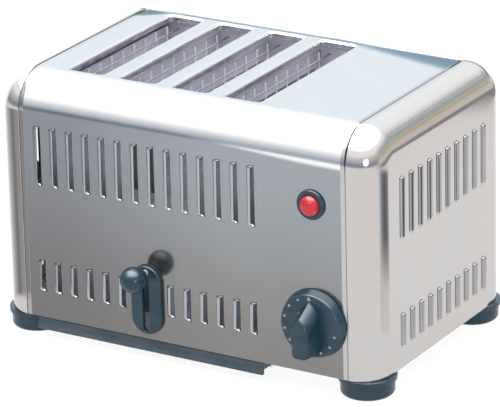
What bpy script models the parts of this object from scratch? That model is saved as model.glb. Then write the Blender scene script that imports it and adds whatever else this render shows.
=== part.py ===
"""Four-slot countertop toaster: louvred sheet-steel body, lever lift, clockwork timer.

Metres, +Z up, front towards -Y, standing on the plane z = 0. The origin lies under
the middle of the whole outline, ball knob and cord gland included.
"""
import math

import bmesh
import bpy
from mathutils import Matrix, Vector

# Body shell
BODY_WIDTH = 0.370
BODY_DEPTH = 0.233
BODY_TOP = 0.235
FOOT_HEIGHT = 0.018
ROLL_RADIUS = 0.032
CAP_LENGTH = 0.026
CAP_EDGE_RADIUS = 0.0255
SHEET = 0.0008
SEAM_ROLL = 0.0045
SEAM_DROP = 0.001
CLEARANCE = 0.0003
OVERRUN = 0.004

# Toasting chamber's place in the body, and the bread slots over it
CONTROL_SPACE = 0.1086
LEFT_SPACE = 0.0386
LIFT_SPACE = 0.0245
CHAMBER_SIDE_MARGIN = 0.009
SLOT_COUNT = 4
SLOT_BRIDGE = 0.0172
SLOT_END_MARGIN = 0.0105
SLOT_CORNER = 0.004
SLOT_RIM_DEPTH = 0.006
SLOT_FLARE = 0.0012

# Pressed louvres: the blank rises from the sheet and its mouth opens along the panel
LOUVRE_BACK = 0.003
LOUVRE_LIP = 0.0009
LOUVRE_MOUTH = 0.0013
LOUVRE_RISE = 0.0021
LOUVRE_CORNER = 0.0022
LOUVRE_CROWN = 0.001
LOUVRE_END = 0.002
FRONT_LOUVRE_COUNT = 14
FRONT_LOUVRE_OVERLAP = 0.00193
FRONT_UPPER_DROP = 0.0693
FRONT_UPPER_LENGTH = 0.0538
FRONT_LOWER_LIFT = 0.0386
FRONT_LOWER_LENGTH = 0.0292
SIDE_LOUVRE_COUNT = 10
SIDE_LOUVRE_MARGIN = 0.03735
SIDE_LOUVRE_MIDDLE = 0.002
SIDE_UPPER_DROP = 0.0759
SIDE_UPPER_LENGTH = 0.0554
SIDE_LOWER_LIFT = 0.0326
SIDE_LOWER_LENGTH = 0.0314

# Base pan and feet
PAN_SHEET = 0.001
PAN_FLANGE = 0.007
CRUMB_OPENING_MARGIN = 0.005
CRUMB_OPENING_END = 0.006
VENT_COUNT = 6
VENT_PITCH = 0.011
VENT_WIDTH = 0.0045
VENT_LENGTH = 0.070
VENT_INSET = 0.060
FOOT_INSET_X = 0.0215
FOOT_INSET_Y = 0.024
FOOT_COLLAR_RADIUS = 0.025
FOOT_COLLAR_HEIGHT = 0.0045
FOOT_RADIUS = 0.023
FOOT_SOLE_RADIUS = 0.0195
FOOT_EDGE = 0.005
FOOT_RECESS_RADIUS = 0.008
FOOT_RECESS_DEPTH = 0.009
FOOT_BORE_RADIUS = 0.0022
FOOT_STEPS = 16

# Crumb tray on its two runners under the base pan
TRAY_LIP_OVERLAP = 0.0011
TRAY_LIP_DROP = 0.0006
TRAY_LIP_HEIGHT = 0.010
TRAY_LIP_FLARE = 0.0022
TRAY_FLOOR_DROP = 0.0096
TRAY_RIM_DROP = 0.0008
TRAY_FOOT_MARGIN = 0.008
TRAY_RIGHT_MARGIN = 0.003
TRAY_BACK_MARGIN = 0.003
RUNNER_OVERHANG = 0.008
RUNNER_LIP = 0.005
RUNNER_FLANGE = 0.007
RUNNER_FOOT_MARGIN = 0.0075

# Toasting chamber
CHAMBER_FLANGE = 0.007
RACK_SLOT_WIDTH = 0.008
ELEMENT_THICKNESS = 0.0012
ELEMENT_LIFT = 0.044
ELEMENT_DROP = 0.013
ELEMENT_TAB_HEIGHT = 0.010
ELEMENT_TAB_INSET = 0.020
RIBBON_COUNT = 5
RIBBON_HEIGHT = 0.004
RIBBON_PROUD = 0.0005
GUARD_WIRE = 0.0014
GUARD_INSET = 0.0018
GUARD_LIFT = 0.042
GUARD_DROP = 0.0085
GUARD_UPRIGHTS = 9
GUARD_END_MARGIN = 0.0095

# Bread lift
LEVER_LIFT = 0.0615
LIFT_TRAVEL = 0.050
RACK_ABOVE_LEVER = 0.0425
RACK_SHEET = 0.0012
RACK_SPINE = 0.006
RACK_TINE_MARGIN = 0.0037
RACK_TINE_WIDTH = 0.004
RACK_TINE_COUNT = 5
RACK_END_MARGIN = 0.0025
CARRIAGE_SHEET = 0.0015
CARRIAGE_FACE = 0.0048
CARRIAGE_BAR_HEIGHT = 0.010
CARRIAGE_BAR_MARGIN = 0.006
CARRIAGE_TONGUE_WIDTH = 0.034
CARRIAGE_TONGUE_MARGIN = 0.006
ROD_SPREAD = 0.026
ROD_RADIUS = 0.003
ROD_OFFSET = 0.0112
ROD_OVERLAP = 0.004
BUSH_RADIUS = 0.006
BUSH_HEIGHT = 0.018
BUSH_DROP = 0.010
BRACKET_SHEET = 0.0012
BRACKET_REACH = 0.0175
BRACKET_WIDTH = 0.070
BRACKET_FLANGE = 0.011
SPRING_RADIUS = 0.005
SPRING_WIRE = 0.0006
SPRING_CURLS = 6
SPRING_POINTS_PER_CURL = 8
CLIP_WIDTH = 0.012
CLIP_HEIGHT = 0.020
CLIP_SHEET = 0.0006

# Lever in front of the panel
LEVER_ARM_RADIUS = 0.0027
LEVER_SLOT_WIDTH = 0.0066
LEVER_PLATE_WIDTH = 0.030
LEVER_PLATE_HEIGHT = 0.062
LEVER_PLATE_THICKNESS = 0.0036
LEVER_PLATE_EDGE = 0.0016
LEVER_OPENING_SIDE_MARGIN = 0.003
LEVER_OPENING_END_MARGIN = 0.0012
BALL_RADIUS = 0.0113
BALL_OFFSET = 0.0219
BALL_NECK_RADIUS = 0.0048
BALL_NECK_LENGTH = 0.003
BALL_BORE_DEPTH = 0.009
BALL_STEPS = 16
BALL_RINGS = 7

# Timer
TIMER_INSET = 0.057
TIMER_LIFT = 0.046
TIMER_SHAFT_RADIUS = 0.003
TIMER_HOLE_RADIUS = 0.005
TIMER_WIDTH = 0.046
TIMER_DEPTH = 0.026
TIMER_HEIGHT = 0.052
TIMER_EDGE = 0.002
TIMER_SOCKET_DEPTH = 0.010
TIMER_BELL_RADIUS = 0.017
TIMER_BELL_DEPTH = 0.008
KNOB_RADIUS = 0.030
KNOB_PANEL_GAP = 0.001
KNOB_SKIRT = 0.0085
KNOB_EDGE = 0.0012
KNOB_WALL = 0.0025
KNOB_HUB_RADIUS = 0.007
KNOB_STEPS = 28
GRIP_WIDTH = 0.019
GRIP_LENGTH = 0.049
GRIP_HEIGHT = 0.018
GRIP_DROP = 0.003
GRIP_DRAFT = 0.0022
GRIP_ROUND = 0.006
GRIP_SLOPE = 0.010
SHAFT_REACH = 0.016

# Pilot lamp
LAMP_INSET = 0.0585
LAMP_DROP = 0.067
LAMP_BEZEL_RADIUS = 0.013
LAMP_BEZEL_HEIGHT = 0.0026
LAMP_BARREL_RADIUS = 0.0098
LAMP_BARREL_LENGTH = 0.022
LAMP_WALL = 0.0007
LAMP_SOCKET_DEPTH = 0.006
LENS_RADIUS = 0.0097
LENS_RISE = 0.0056
LENS_RINGS = 4
LAMP_NUT_RADIUS = 0.0142
LAMP_NUT_HEIGHT = 0.004
LAMP_STEPS = 18

# Supply side
GLAND_INSET = 0.060
GLAND_LIFT = 0.027
GLAND_FLANGE_RADIUS = 0.0095
GLAND_FLANGE_HEIGHT = 0.0028
GLAND_SNOUT_RADIUS = 0.0064
GLAND_SNOUT_LENGTH = 0.009
GLAND_BODY_RADIUS = 0.007
GLAND_BODY_LENGTH = 0.008
GLAND_BORE_RADIUS = 0.0038
GLAND_STEPS = 12
BLOCK_SIZE = Vector((0.020, 0.046, 0.016))
BLOCK_INSET_X = 0.065
BLOCK_INSET_Y = 0.037
BLOCK_EDGE = 0.001
BLOCK_WAYS = 3
BLOCK_WAY_PITCH = 0.014
BLOCK_WAY_SIZE = 0.007

# Shares of a turn, of a height or of a face count; none of these is a length
ROLL_SEGMENTS = 6
CAP_SEGMENTS = 5
FULL_TURN = math.tau
QUARTER_TURN = math.pi / 2
FACING_SHARE = 0.9
ROUND_PROFILE_SHARE = 0.5
SMOOTH_ANGLE = math.radians(35)
MERGE_DISTANCE = 0.00001
MM_PER_METRE = 1000
SAME_PLACE = 0.00002

# Worked out from the sizes above
HALF_WIDTH = BODY_WIDTH / 2
HALF_DEPTH = BODY_DEPTH / 2
SEAM_X = HALF_WIDTH - CAP_LENGTH
INNER_Y = HALF_DEPTH - SHEET
WALL_Y = HALF_DEPTH - LIFT_SPACE
CHAMBER_WIDTH = BODY_WIDTH - CONTROL_SPACE - LEFT_SPACE
TOAST_CENTRE_X = (LEFT_SPACE - CONTROL_SPACE) / 2
SLOT_PITCH = (CHAMBER_WIDTH - 2 * CHAMBER_SIDE_MARGIN) / SLOT_COUNT
SLOT_WIDTH = SLOT_PITCH - SLOT_BRIDGE
SLOT_LENGTH = 2 * (WALL_Y - SLOT_END_MARGIN)
FIRST_SLOT_X = TOAST_CENTRE_X - SLOT_PITCH * (SLOT_COUNT - 1) / 2
SLOT_XS = [FIRST_SLOT_X + index * SLOT_PITCH for index in range(SLOT_COUNT)]
ELEMENT_XS = [FIRST_SLOT_X + (index - 1 / 2) * SLOT_PITCH for index in range(SLOT_COUNT + 1)]
CHAMBER_LEFT = ELEMENT_XS[0] - CHAMBER_SIDE_MARGIN
CHAMBER_RIGHT = ELEMENT_XS[-1] + CHAMBER_SIDE_MARGIN
FLOOR_Z = FOOT_HEIGHT + PAN_SHEET + CLEARANCE
FRONT_LOUVRE_PITCH = (CHAMBER_WIDTH + 2 * FRONT_LOUVRE_OVERLAP) / FRONT_LOUVRE_COUNT
SIDE_LOUVRE_PITCH = (BODY_DEPTH - 2 * SIDE_LOUVRE_MARGIN) / SIDE_LOUVRE_COUNT
FRONT_ROWS = [
    (BODY_TOP - FRONT_UPPER_DROP, FRONT_UPPER_LENGTH),
    (FOOT_HEIGHT + FRONT_LOWER_LIFT, FRONT_LOWER_LENGTH),
]
SIDE_ROWS = [
    (BODY_TOP - SIDE_UPPER_DROP, SIDE_UPPER_LENGTH),
    (FOOT_HEIGHT + SIDE_LOWER_LIFT, SIDE_LOWER_LENGTH),
]
FOOT_X = HALF_WIDTH - FOOT_INSET_X
FOOT_Y = HALF_DEPTH - FOOT_INSET_Y
ELEMENT_BOTTOM = FOOT_HEIGHT + ELEMENT_LIFT
ELEMENT_TOP = BODY_TOP - ELEMENT_DROP
GUARD_BOTTOM = FOOT_HEIGHT + GUARD_LIFT
GUARD_TOP = BODY_TOP - GUARD_DROP
GUARD_OFFSET = SLOT_WIDTH / 2 - GUARD_INSET
GUARD_SPAN = SLOT_LENGTH - 2 * GUARD_END_MARGIN
RACK_TINE = GUARD_OFFSET - RACK_TINE_MARGIN
RACK_LENGTH = SLOT_LENGTH - 2 * RACK_END_MARGIN
LEVER_TOP = FOOT_HEIGHT + LEVER_LIFT
RACK_Z = LEVER_TOP + RACK_ABOVE_LEVER
ROD_Y = -WALL_Y - ROD_OFFSET
CARRIAGE_BACK_Y = -WALL_Y - CARRIAGE_FACE
CARRIAGE_FRONT_Y = CARRIAGE_BACK_Y - CARRIAGE_SHEET
BUSH_TOP = RACK_Z + BUSH_HEIGHT - BUSH_DROP
BUSH_BOTTOM = RACK_Z - BUSH_DROP
LOWER_SHELF_Z = FLOOR_Z + SHEET + CLEARANCE
UPPER_SHELF_Z = BUSH_TOP + CLEARANCE
LEVER_SLOT_LENGTH = LIFT_TRAVEL + LEVER_SLOT_WIDTH + 2 * CLEARANCE
LEVER_SLOT_Z = LEVER_TOP - LIFT_TRAVEL / 2
BALL_Y = -HALF_DEPTH - BALL_OFFSET
TRAY_LIP_WIDTH = CHAMBER_WIDTH + 2 * TRAY_LIP_OVERLAP
TRAY_LIP_TOP = FOOT_HEIGHT - TRAY_LIP_DROP
TRAY_LIP_BOTTOM = TRAY_LIP_TOP - TRAY_LIP_HEIGHT
TRAY_FLOOR = FOOT_HEIGHT - TRAY_FLOOR_DROP
TRAY_RIM = FOOT_HEIGHT - TRAY_RIM_DROP
TRAY_LEFT = -(FOOT_X - FOOT_COLLAR_RADIUS) + TRAY_FOOT_MARGIN
TRAY_RIGHT = TOAST_CENTRE_X + TRAY_LIP_WIDTH / 2 - TRAY_RIGHT_MARGIN
TRAY_BACK = WALL_Y + TRAY_BACK_MARGIN
RUNNER_LENGTH = 2 * (WALL_Y + RUNNER_OVERHANG)
RUNNER_FLANGE_LENGTH = 2 * (FOOT_Y - FOOT_COLLAR_RADIUS - RUNNER_FOOT_MARGIN)
VENT_CENTRE_X = HALF_WIDTH - VENT_INSET
TIMER_X = HALF_WIDTH - TIMER_INSET
TIMER_Z = FOOT_HEIGHT + TIMER_LIFT
LAMP_X = HALF_WIDTH - LAMP_INSET
LAMP_Z = BODY_TOP - LAMP_DROP
GLAND_X = HALF_WIDTH - GLAND_INSET
GLAND_Z = FOOT_HEIGHT + GLAND_LIFT
BLOCK_X = HALF_WIDTH - BLOCK_INSET_X
BLOCK_Y = WALL_Y - BLOCK_INSET_Y
GLAND_REAR_Y = HALF_DEPTH + CLEARANCE + GLAND_SNOUT_LENGTH
OUTLINE_SHIFT_Y = (BALL_OFFSET + BALL_RADIUS + HALF_DEPTH - GLAND_REAR_Y) / 2

# Finishes: base colour, roughness, metallic
SATIN_STEEL = ((0.62, 0.63, 0.64), 0.28, 1.0)
POLISHED_STEEL = ((0.78, 0.78, 0.77), 0.12, 1.0)
INNER_STEEL = ((0.50, 0.50, 0.52), 0.40, 1.0)
DARK_TRAY = ((0.05, 0.07, 0.09), 0.35, 0.6)
BLACK_PLASTIC = ((0.02, 0.03, 0.04), 0.30, 0.0)
RED_LENS = ((0.62, 0.02, 0.03), 0.10, 0.0)
MICA = ((0.40, 0.33, 0.22), 0.60, 0.0)
BRASS = ((0.72, 0.55, 0.25), 0.30, 1.0)
CERAMIC = ((0.80, 0.78, 0.72), 0.50, 0.0)
BRIGHT_WIRE = ((0.80, 0.80, 0.80), 0.25, 1.0)


# Scene, collections and the empties that carry the pieces
for leftover in list(bpy.data.objects):
    bpy.data.objects.remove(leftover)
parts = bpy.data.collections.new("toaster")
cutters = bpy.data.collections.new("cutters")
bpy.context.scene.collection.children.link(parts)
bpy.context.scene.collection.children.link(cutters)


def carrier(name, location, parent=None):
    """Empty that carries pieces: the whole toaster, or one moving group."""
    empty = bpy.data.objects.new(name, None)
    empty.location = location
    empty.parent = parent
    parts.objects.link(empty)
    return empty


centre = carrier("toaster_centre", (0, OUTLINE_SHIFT_Y, 0))


# Helpers that turn a mesh into a finished piece or a cutter
def finish(mesh, look):
    """Material of the mesh's own, in one of the finishes above."""
    colour, roughness, metallic = look
    material = bpy.data.materials.new(mesh.name + "_finish")
    material.use_nodes = True
    shader = material.node_tree.nodes["Principled BSDF"]
    shader.inputs["Base Color"].default_value = (*colour, 1)
    shader.inputs["Roughness"].default_value = roughness
    shader.inputs["Metallic"].default_value = metallic
    mesh.materials.append(material)


def piece(name, bm, look, location=(0, 0, 0), rotation=(0, 0, 0), parent=centre, smooth=False):
    """Object in the toaster collection from a bmesh, which is used up."""
    mesh = bpy.data.meshes.new(name)
    bmesh.ops.recalc_face_normals(bm, faces=bm.faces)
    bm.to_mesh(mesh)
    bm.free()
    if smooth:
        mesh.shade_smooth()
        mesh.set_sharp_from_angle(angle=SMOOTH_ANGLE)
    finish(mesh, look)
    node = bpy.data.objects.new(name, mesh)
    node.location = location
    node.rotation_euler = rotation
    node.parent = parent
    parts.objects.link(node)
    return node


def tool(name, shapes, like=None):
    """Cutter or joining shape from several bmeshes, placed like the piece it works on."""
    gathered = bmesh.new()
    for shape in shapes:
        scratch = bpy.data.meshes.new(name)
        bmesh.ops.recalc_face_normals(shape, faces=shape.faces)
        shape.to_mesh(scratch)
        shape.free()
        gathered.from_mesh(scratch)
        bpy.data.meshes.remove(scratch)
    mesh = bpy.data.meshes.new(name)
    gathered.to_mesh(mesh)
    gathered.free()
    node = bpy.data.objects.new(name, mesh)
    node.parent = like.parent if like else centre
    if like:
        node.location = like.location
        node.rotation_euler = like.rotation_euler
    node.hide_render = True
    node.display_type = "WIRE"
    cutters.objects.link(node)
    return node


def boolean(node, operation, shapes, solver="EXACT"):
    """Join shapes to a piece (UNION) or cut them out of it (DIFFERENCE)."""
    modifier = node.modifiers.new(operation.lower(), "BOOLEAN")
    modifier.operation = operation
    modifier.solver = solver
    modifier.object = tool(node.name + "_" + operation.lower(), shapes, like=node)


def shell(node, thickness):
    """Sheet of even thickness grown inwards from an open surface."""
    modifier = node.modifiers.new("sheet", "SOLIDIFY")
    modifier.thickness = thickness
    modifier.offset = -1
    modifier.use_even_offset = True


def block(low, high):
    """Box between two corners."""
    bm = bmesh.new()
    low = Vector(low)
    high = Vector(high)
    stretch = Matrix.Diagonal((*(high - low), 1))
    bmesh.ops.create_cube(bm, size=1, matrix=Matrix.Translation((low + high) / 2) @ stretch)
    return bm


def rod(radius, low, high, steps=16, axis="Z", at=(0, 0)):
    """Cylinder along an axis between two heights; at is its place across that axis."""
    bm = bmesh.new()
    turn = Matrix.Identity(4)
    place = Vector((*at, (low + high) / 2))
    if axis == "Y":
        turn = Matrix.Rotation(QUARTER_TURN, 4, "X")
        place = Vector((at[0], (low + high) / 2, at[1]))
    bmesh.ops.create_cone(bm, cap_ends=True, segments=steps, radius1=radius, radius2=radius,
                          depth=high - low, matrix=Matrix.Translation(place) @ turn)
    return bm


def near(value, target):
    """Whether two coordinates are the same place."""
    return abs(value - target) < SAME_PLACE


def edges_along(bm, axis, test=None):
    """Edges parallel to an axis (0, 1, 2) whose middle passes the test."""
    found = []
    for edge in bm.edges:
        span = (edge.verts[1].co - edge.verts[0].co).normalized()
        middle = (edge.verts[0].co + edge.verts[1].co) / 2
        if abs(span[axis]) > FACING_SHARE and (test is None or test(middle)):
            found.append(edge)
    return found


def round_edges(bm, edges, radius, segments):
    """Rounded edges of one radius."""
    bmesh.ops.bevel(bm, geom=edges, offset=radius, segments=segments,
                    profile=ROUND_PROFILE_SHARE, affect="EDGES", clamp_overlap=False)
    bm.normal_update()


def outline(points, thickness, windows=()):
    """Flat plate from a 2D outline and its windows, centred on the XY plane, caps welded."""
    curve = bpy.data.curves.new("outline", "CURVE")
    curve.dimensions = "2D"
    curve.fill_mode = "BOTH"
    curve.extrude = thickness / 2
    for ring in (points, *windows):
        spline = curve.splines.new("POLY")
        spline.points.add(len(ring) - 1)
        for point, (x, y) in zip(spline.points, ring):
            point.co = (x, y, 0, 1)
        spline.use_cyclic_u = True
    drawn = bpy.data.objects.new("outline", curve)
    cutters.objects.link(drawn)
    graph = bpy.context.evaluated_depsgraph_get()
    mesh = bpy.data.meshes.new_from_object(drawn.evaluated_get(graph))
    bm = bmesh.new()
    bm.from_mesh(mesh)
    bmesh.ops.remove_doubles(bm, verts=bm.verts, dist=MERGE_DISTANCE)
    bpy.data.objects.remove(drawn)
    bpy.data.meshes.remove(mesh)
    bpy.data.curves.remove(curve)
    return bm


def stand_up(bm, y):
    """Turn a plate drawn in XY to face the front, its outline's Y up, at depth y."""
    turn = Matrix.Rotation(QUARTER_TURN, 4, "X")
    bmesh.ops.transform(bm, matrix=Matrix.Translation((0, y, 0)) @ turn, verts=bm.verts)
    return bm


def side_on(bm, x):
    """Turn a plate drawn in XY so that the outline's X runs along Y and its Y runs up."""
    turn = Matrix(((0, 0, 1, x), (1, 0, 0, 0), (0, 1, 0, 0), (0, 0, 0, 1)))
    bmesh.ops.transform(bm, matrix=turn, verts=bm.verts)
    return bm


def stadium(width, height, centre_z, steps=8):
    """Outline of an upright slot with round ends."""
    radius = width / 2
    half_straight = height / 2 - radius
    points = []
    for end in (1, -1):
        for step in range(steps + 1):
            angle = math.pi * step / steps
            across = radius * math.cos(angle) * end
            points.append((across, centre_z + end * (half_straight + radius * math.sin(angle))))
    return points


def turned(name, profile, steps, look, location, rotation=(0, 0, 0), parent=centre):
    """Turned piece: the profile of (radius, height) points runs down its outer side."""
    mesh = bpy.data.meshes.new(name)
    closed = profile[0][0] > 0
    count = len(profile)
    links = [(index, (index + 1) % count) for index in range(count if closed else count - 1)]
    mesh.from_pydata([(radius, 0, height) for radius, height in profile], links, [])
    finish(mesh, look)
    node = bpy.data.objects.new(name, mesh)
    node.location = location
    node.rotation_euler = rotation
    node.parent = parent
    parts.objects.link(node)
    screw = node.modifiers.new("turn", "SCREW")
    screw.axis = "Z"
    screw.angle = FULL_TURN
    screw.steps = steps
    screw.render_steps = steps
    screw.use_merge_vertices = True
    screw.merge_threshold = MERGE_DISTANCE
    screw.use_smooth_shade = True
    return node


# Pressed louvres
def louvre_blank(half_length):
    """Raised shape: two back corners cut off, outer edges crowned, mouth edge sharp."""
    bm = block((-LOUVRE_BACK, -half_length, -SHEET / 2), (LOUVRE_LIP, half_length, LOUVRE_RISE))
    round_edges(bm, edges_along(bm, 2, lambda at: at.x < 0), LOUVRE_CORNER, 1)
    crowned = []
    for edge in bm.edges:
        on_top = all(near(vert.co.z, LOUVRE_RISE) for vert in edge.verts)
        at_mouth = all(near(vert.co.x, LOUVRE_LIP) for vert in edge.verts)
        if on_top and not at_mouth:
            crowned.append(edge)
    round_edges(bm, crowned, LOUVRE_CROWN, 1)
    return bm


def louvre_pair(length, frame):
    """Raised blank and the cut under it, placed by a frame (along, up, outwards)."""
    blank = louvre_blank(length / 2)
    cut_half = length / 2 - LOUVRE_END
    cut = block((SHEET - LOUVRE_BACK, -cut_half, -SHEET - OVERRUN),
                (LOUVRE_LIP + LOUVRE_MOUTH, cut_half, LOUVRE_RISE - SHEET))
    for shape in (blank, cut):
        bmesh.ops.transform(shape, matrix=frame, verts=shape.verts)
    return blank, cut


def panel_frame(along, outwards, place):
    """Matrix of a louvre: local X along the panel, Y up, Z out of the panel."""
    along = Vector(along)
    outwards = Vector(outwards)
    turn = Matrix((along, (0, 0, 1), outwards)).transposed().to_4x4()
    return Matrix.Translation(place) @ turn


def louvre_row(count, pitch, middle, height, length, along, outwards, face, skip=()):
    """Blanks and cuts of one row; the row runs along its panel, centred on middle."""
    pairs = []
    for index in range(count):
        if index in skip:
            continue
        offset = middle + (index - (count - 1) / 2) * pitch
        place = (offset, face, height) if abs(outwards[1]) > 0 else (face, offset, height)
        pairs.append(louvre_pair(length, panel_frame(along, outwards, place)))
    return pairs


# Wrap cover: front, top and back in one sheet
def wrap_line(inset):
    """Points (depth, height) up the front, over the two rolls and down the back."""
    across = HALF_DEPTH - ROLL_RADIUS
    up = BODY_TOP - ROLL_RADIUS
    radius = ROLL_RADIUS - inset
    points = [(inset - HALF_DEPTH, FOOT_HEIGHT)]
    for side, first in ((-1, math.pi), (1, QUARTER_TURN)):
        for step in range(ROLL_SEGMENTS + 1):
            angle = first - QUARTER_TURN * step / ROLL_SEGMENTS
            points.append((side * across + radius * math.cos(angle), up + radius * math.sin(angle)))
    points.append((HALF_DEPTH - inset, FOOT_HEIGHT))
    return points


def bent_sheet():
    """Solid sheet of the wrap, its two end edges rolled in towards the seams."""
    half = SEAM_X - CLEARANCE
    bm = bmesh.new()
    rings = []
    for x, drop in ((-half, SEAM_DROP), (SEAM_ROLL - half, 0), (half - SEAM_ROLL, 0), (half, SEAM_DROP)):
        line = wrap_line(drop) + list(reversed(wrap_line(drop + SHEET)))
        rings.append([bm.verts.new((x, y, z)) for y, z in line])
    count = len(rings[0])
    for ring, following in zip(rings, rings[1:]):
        for index in range(count):
            onward = (index + 1) % count
            bm.faces.new((ring[index], ring[onward], following[onward], following[index]))
    for ring in (rings[0], rings[-1]):
        for index in range(count // 2 - 1):
            bm.faces.new((ring[index], ring[index + 1], ring[count - 2 - index], ring[count - 1 - index]))
    return bm


def slot_collar(x):
    """Turned-down rim round one bread slot."""
    half_x = SLOT_WIDTH / 2 + SHEET
    half_y = SLOT_LENGTH / 2 + SHEET
    bm = block((x - half_x, -half_y, BODY_TOP - SLOT_RIM_DEPTH),
               (x + half_x, half_y, BODY_TOP - SHEET / 2))
    round_edges(bm, edges_along(bm, 2), SLOT_CORNER + SHEET, 3)
    return bm


def slot_cut(x):
    """Cut of one bread slot, flared where the rim rolls over."""
    half_x = SLOT_WIDTH / 2
    half_y = SLOT_LENGTH / 2
    bm = block((x - half_x, -half_y, BODY_TOP - SLOT_RIM_DEPTH - OVERRUN),
               (x + half_x, half_y, BODY_TOP - SLOT_FLARE))
    round_edges(bm, edges_along(bm, 2), SLOT_CORNER, 3)
    top = [face for face in bm.faces if face.normal.z > FACING_SHARE]
    grown = bmesh.ops.extrude_face_region(bm, geom=top)
    rim = [item for item in grown["geom"] if isinstance(item, bmesh.types.BMVert)]
    bmesh.ops.delete(bm, geom=top, context="FACES_ONLY")
    rise = 2 * SLOT_FLARE
    for vert in rim:
        vert.co.z += rise
        vert.co.x += math.copysign(rise, vert.co.x - x)
        vert.co.y += math.copysign(rise, vert.co.y)
    return bm


def wrap_cover():
    """Front, top and back panel."""
    node = piece("wrap_cover", bent_sheet(), SATIN_STEEL, smooth=True)
    under_plate = range(FRONT_LOUVRE_COUNT // 2 - 1, FRONT_LOUVRE_COUNT // 2 + 1)
    row = (FRONT_LOUVRE_COUNT, FRONT_LOUVRE_PITCH, TOAST_CENTRE_X)
    upper, lower = FRONT_ROWS
    pairs = louvre_row(*row, *upper, (1, 0, 0), (0, -1, 0), -HALF_DEPTH)
    pairs += louvre_row(*row, *lower, (1, 0, 0), (0, -1, 0), -HALF_DEPTH, skip=under_plate)
    pairs += louvre_row(*row, *upper, (-1, 0, 0), (0, 1, 0), HALF_DEPTH)
    boolean(node, "UNION", [blank for blank, cut in pairs] + [slot_collar(x) for x in SLOT_XS])
    through_front = (-HALF_DEPTH - OVERRUN, -INNER_Y + OVERRUN)
    lever_opening = outline(stadium(LEVER_SLOT_WIDTH + 2 * LEVER_OPENING_SIDE_MARGIN,
                                    LEVER_SLOT_LENGTH + 2 * LEVER_OPENING_END_MARGIN, LEVER_SLOT_Z, steps=4),
                            2 * OVERRUN)
    stand_up(lever_opening, -HALF_DEPTH)
    bmesh.ops.translate(lever_opening, vec=(TOAST_CENTRE_X, 0, 0), verts=lever_opening.verts)
    cuts = [cut for blank, cut in pairs] + [slot_cut(x) for x in SLOT_XS] + [lever_opening]
    cuts.append(rod(LAMP_BARREL_RADIUS + CLEARANCE, *through_front, steps=LAMP_STEPS, axis="Y",
                    at=(LAMP_X, LAMP_Z)))
    cuts.append(rod(TIMER_HOLE_RADIUS, *through_front, axis="Y", at=(TIMER_X, TIMER_Z)))
    cuts.append(rod(GLAND_BODY_RADIUS + CLEARANCE, INNER_Y - OVERRUN, HALF_DEPTH + OVERRUN,
                    steps=GLAND_STEPS, axis="Y", at=(GLAND_X, GLAND_Z)))
    boolean(node, "DIFFERENCE", cuts)


# End caps
def end_cap(name, side):
    """Drawn cap that closes one end, with ball corners and two rows of louvres."""
    bm = block((SEAM_X, -HALF_DEPTH, FOOT_HEIGHT), (HALF_WIDTH, HALF_DEPTH, BODY_TOP))
    round_edges(bm, edges_along(bm, 0, lambda at: near(at.z, BODY_TOP)), ROLL_RADIUS, ROLL_SEGMENTS)
    rim = []
    for edge in bm.edges:
        on_side = all(near(vert.co.x, HALF_WIDTH) for vert in edge.verts)
        on_floor = all(near(vert.co.z, FOOT_HEIGHT) for vert in edge.verts)
        if on_side and not on_floor:
            rim.append(edge)
    round_edges(bm, rim, CAP_EDGE_RADIUS, CAP_SEGMENTS)
    open_faces = []
    for face in bm.faces:
        at_seam = all(near(vert.co.x, SEAM_X) for vert in face.verts)
        on_floor = all(near(vert.co.z, FOOT_HEIGHT) for vert in face.verts)
        if at_seam or on_floor:
            open_faces.append(face)
    bmesh.ops.delete(bm, geom=open_faces, context="FACES")
    if side < 0:
        bmesh.ops.scale(bm, vec=(-1, 1, 1), verts=bm.verts)
        bmesh.ops.reverse_faces(bm, faces=bm.faces)
    node = piece(name, bm, POLISHED_STEEL, smooth=True)
    shell(node, SHEET)
    pairs = []
    for height, length in SIDE_ROWS:
        pairs += louvre_row(SIDE_LOUVRE_COUNT, SIDE_LOUVRE_PITCH, SIDE_LOUVRE_MIDDLE, height, length,
                            (0, 1, 0), (side, 0, 0), side * HALF_WIDTH)
    boolean(node, "UNION", [blank for blank, cut in pairs])
    boolean(node, "DIFFERENCE", [cut for blank, cut in pairs])


# Base pan, feet, crumb tray and its runners
def base_pan():
    """Shallow pan that closes the body below and carries the chamber."""
    inset = SHEET + SEAM_DROP + CLEARANCE
    half_x = HALF_WIDTH - inset
    half_y = HALF_DEPTH - inset
    bm = block((-half_x, -half_y, FOOT_HEIGHT), (half_x, half_y, FOOT_HEIGHT + PAN_FLANGE))
    round_edges(bm, edges_along(bm, 2), CAP_EDGE_RADIUS - inset, CAP_SEGMENTS)
    top = [face for face in bm.faces if face.normal.z > FACING_SHARE]
    bmesh.ops.delete(bm, geom=top, context="FACES_ONLY")
    node = piece("base_pan", bm, INNER_STEEL)
    shell(node, PAN_SHEET)
    low = FOOT_HEIGHT - OVERRUN
    high = FOOT_HEIGHT + PAN_SHEET + OVERRUN
    opening_end = WALL_Y - CRUMB_OPENING_END
    cuts = [block((TRAY_LEFT + CRUMB_OPENING_MARGIN, -opening_end, low),
                  (TRAY_RIGHT - CRUMB_OPENING_MARGIN, opening_end, high))]
    for index in range(VENT_COUNT):
        x = VENT_CENTRE_X + (index - (VENT_COUNT - 1) / 2) * VENT_PITCH
        vent = block((x - VENT_WIDTH / 2, -VENT_LENGTH / 2, low), (x + VENT_WIDTH / 2, VENT_LENGTH / 2, high))
        cuts.append(vent)
    for side_x in (-1, 1):
        for side_y in (-1, 1):
            cuts.append(rod(FOOT_BORE_RADIUS, low, high, steps=8, at=(side_x * FOOT_X, side_y * FOOT_Y)))
    boolean(node, "DIFFERENCE", cuts)


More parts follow.
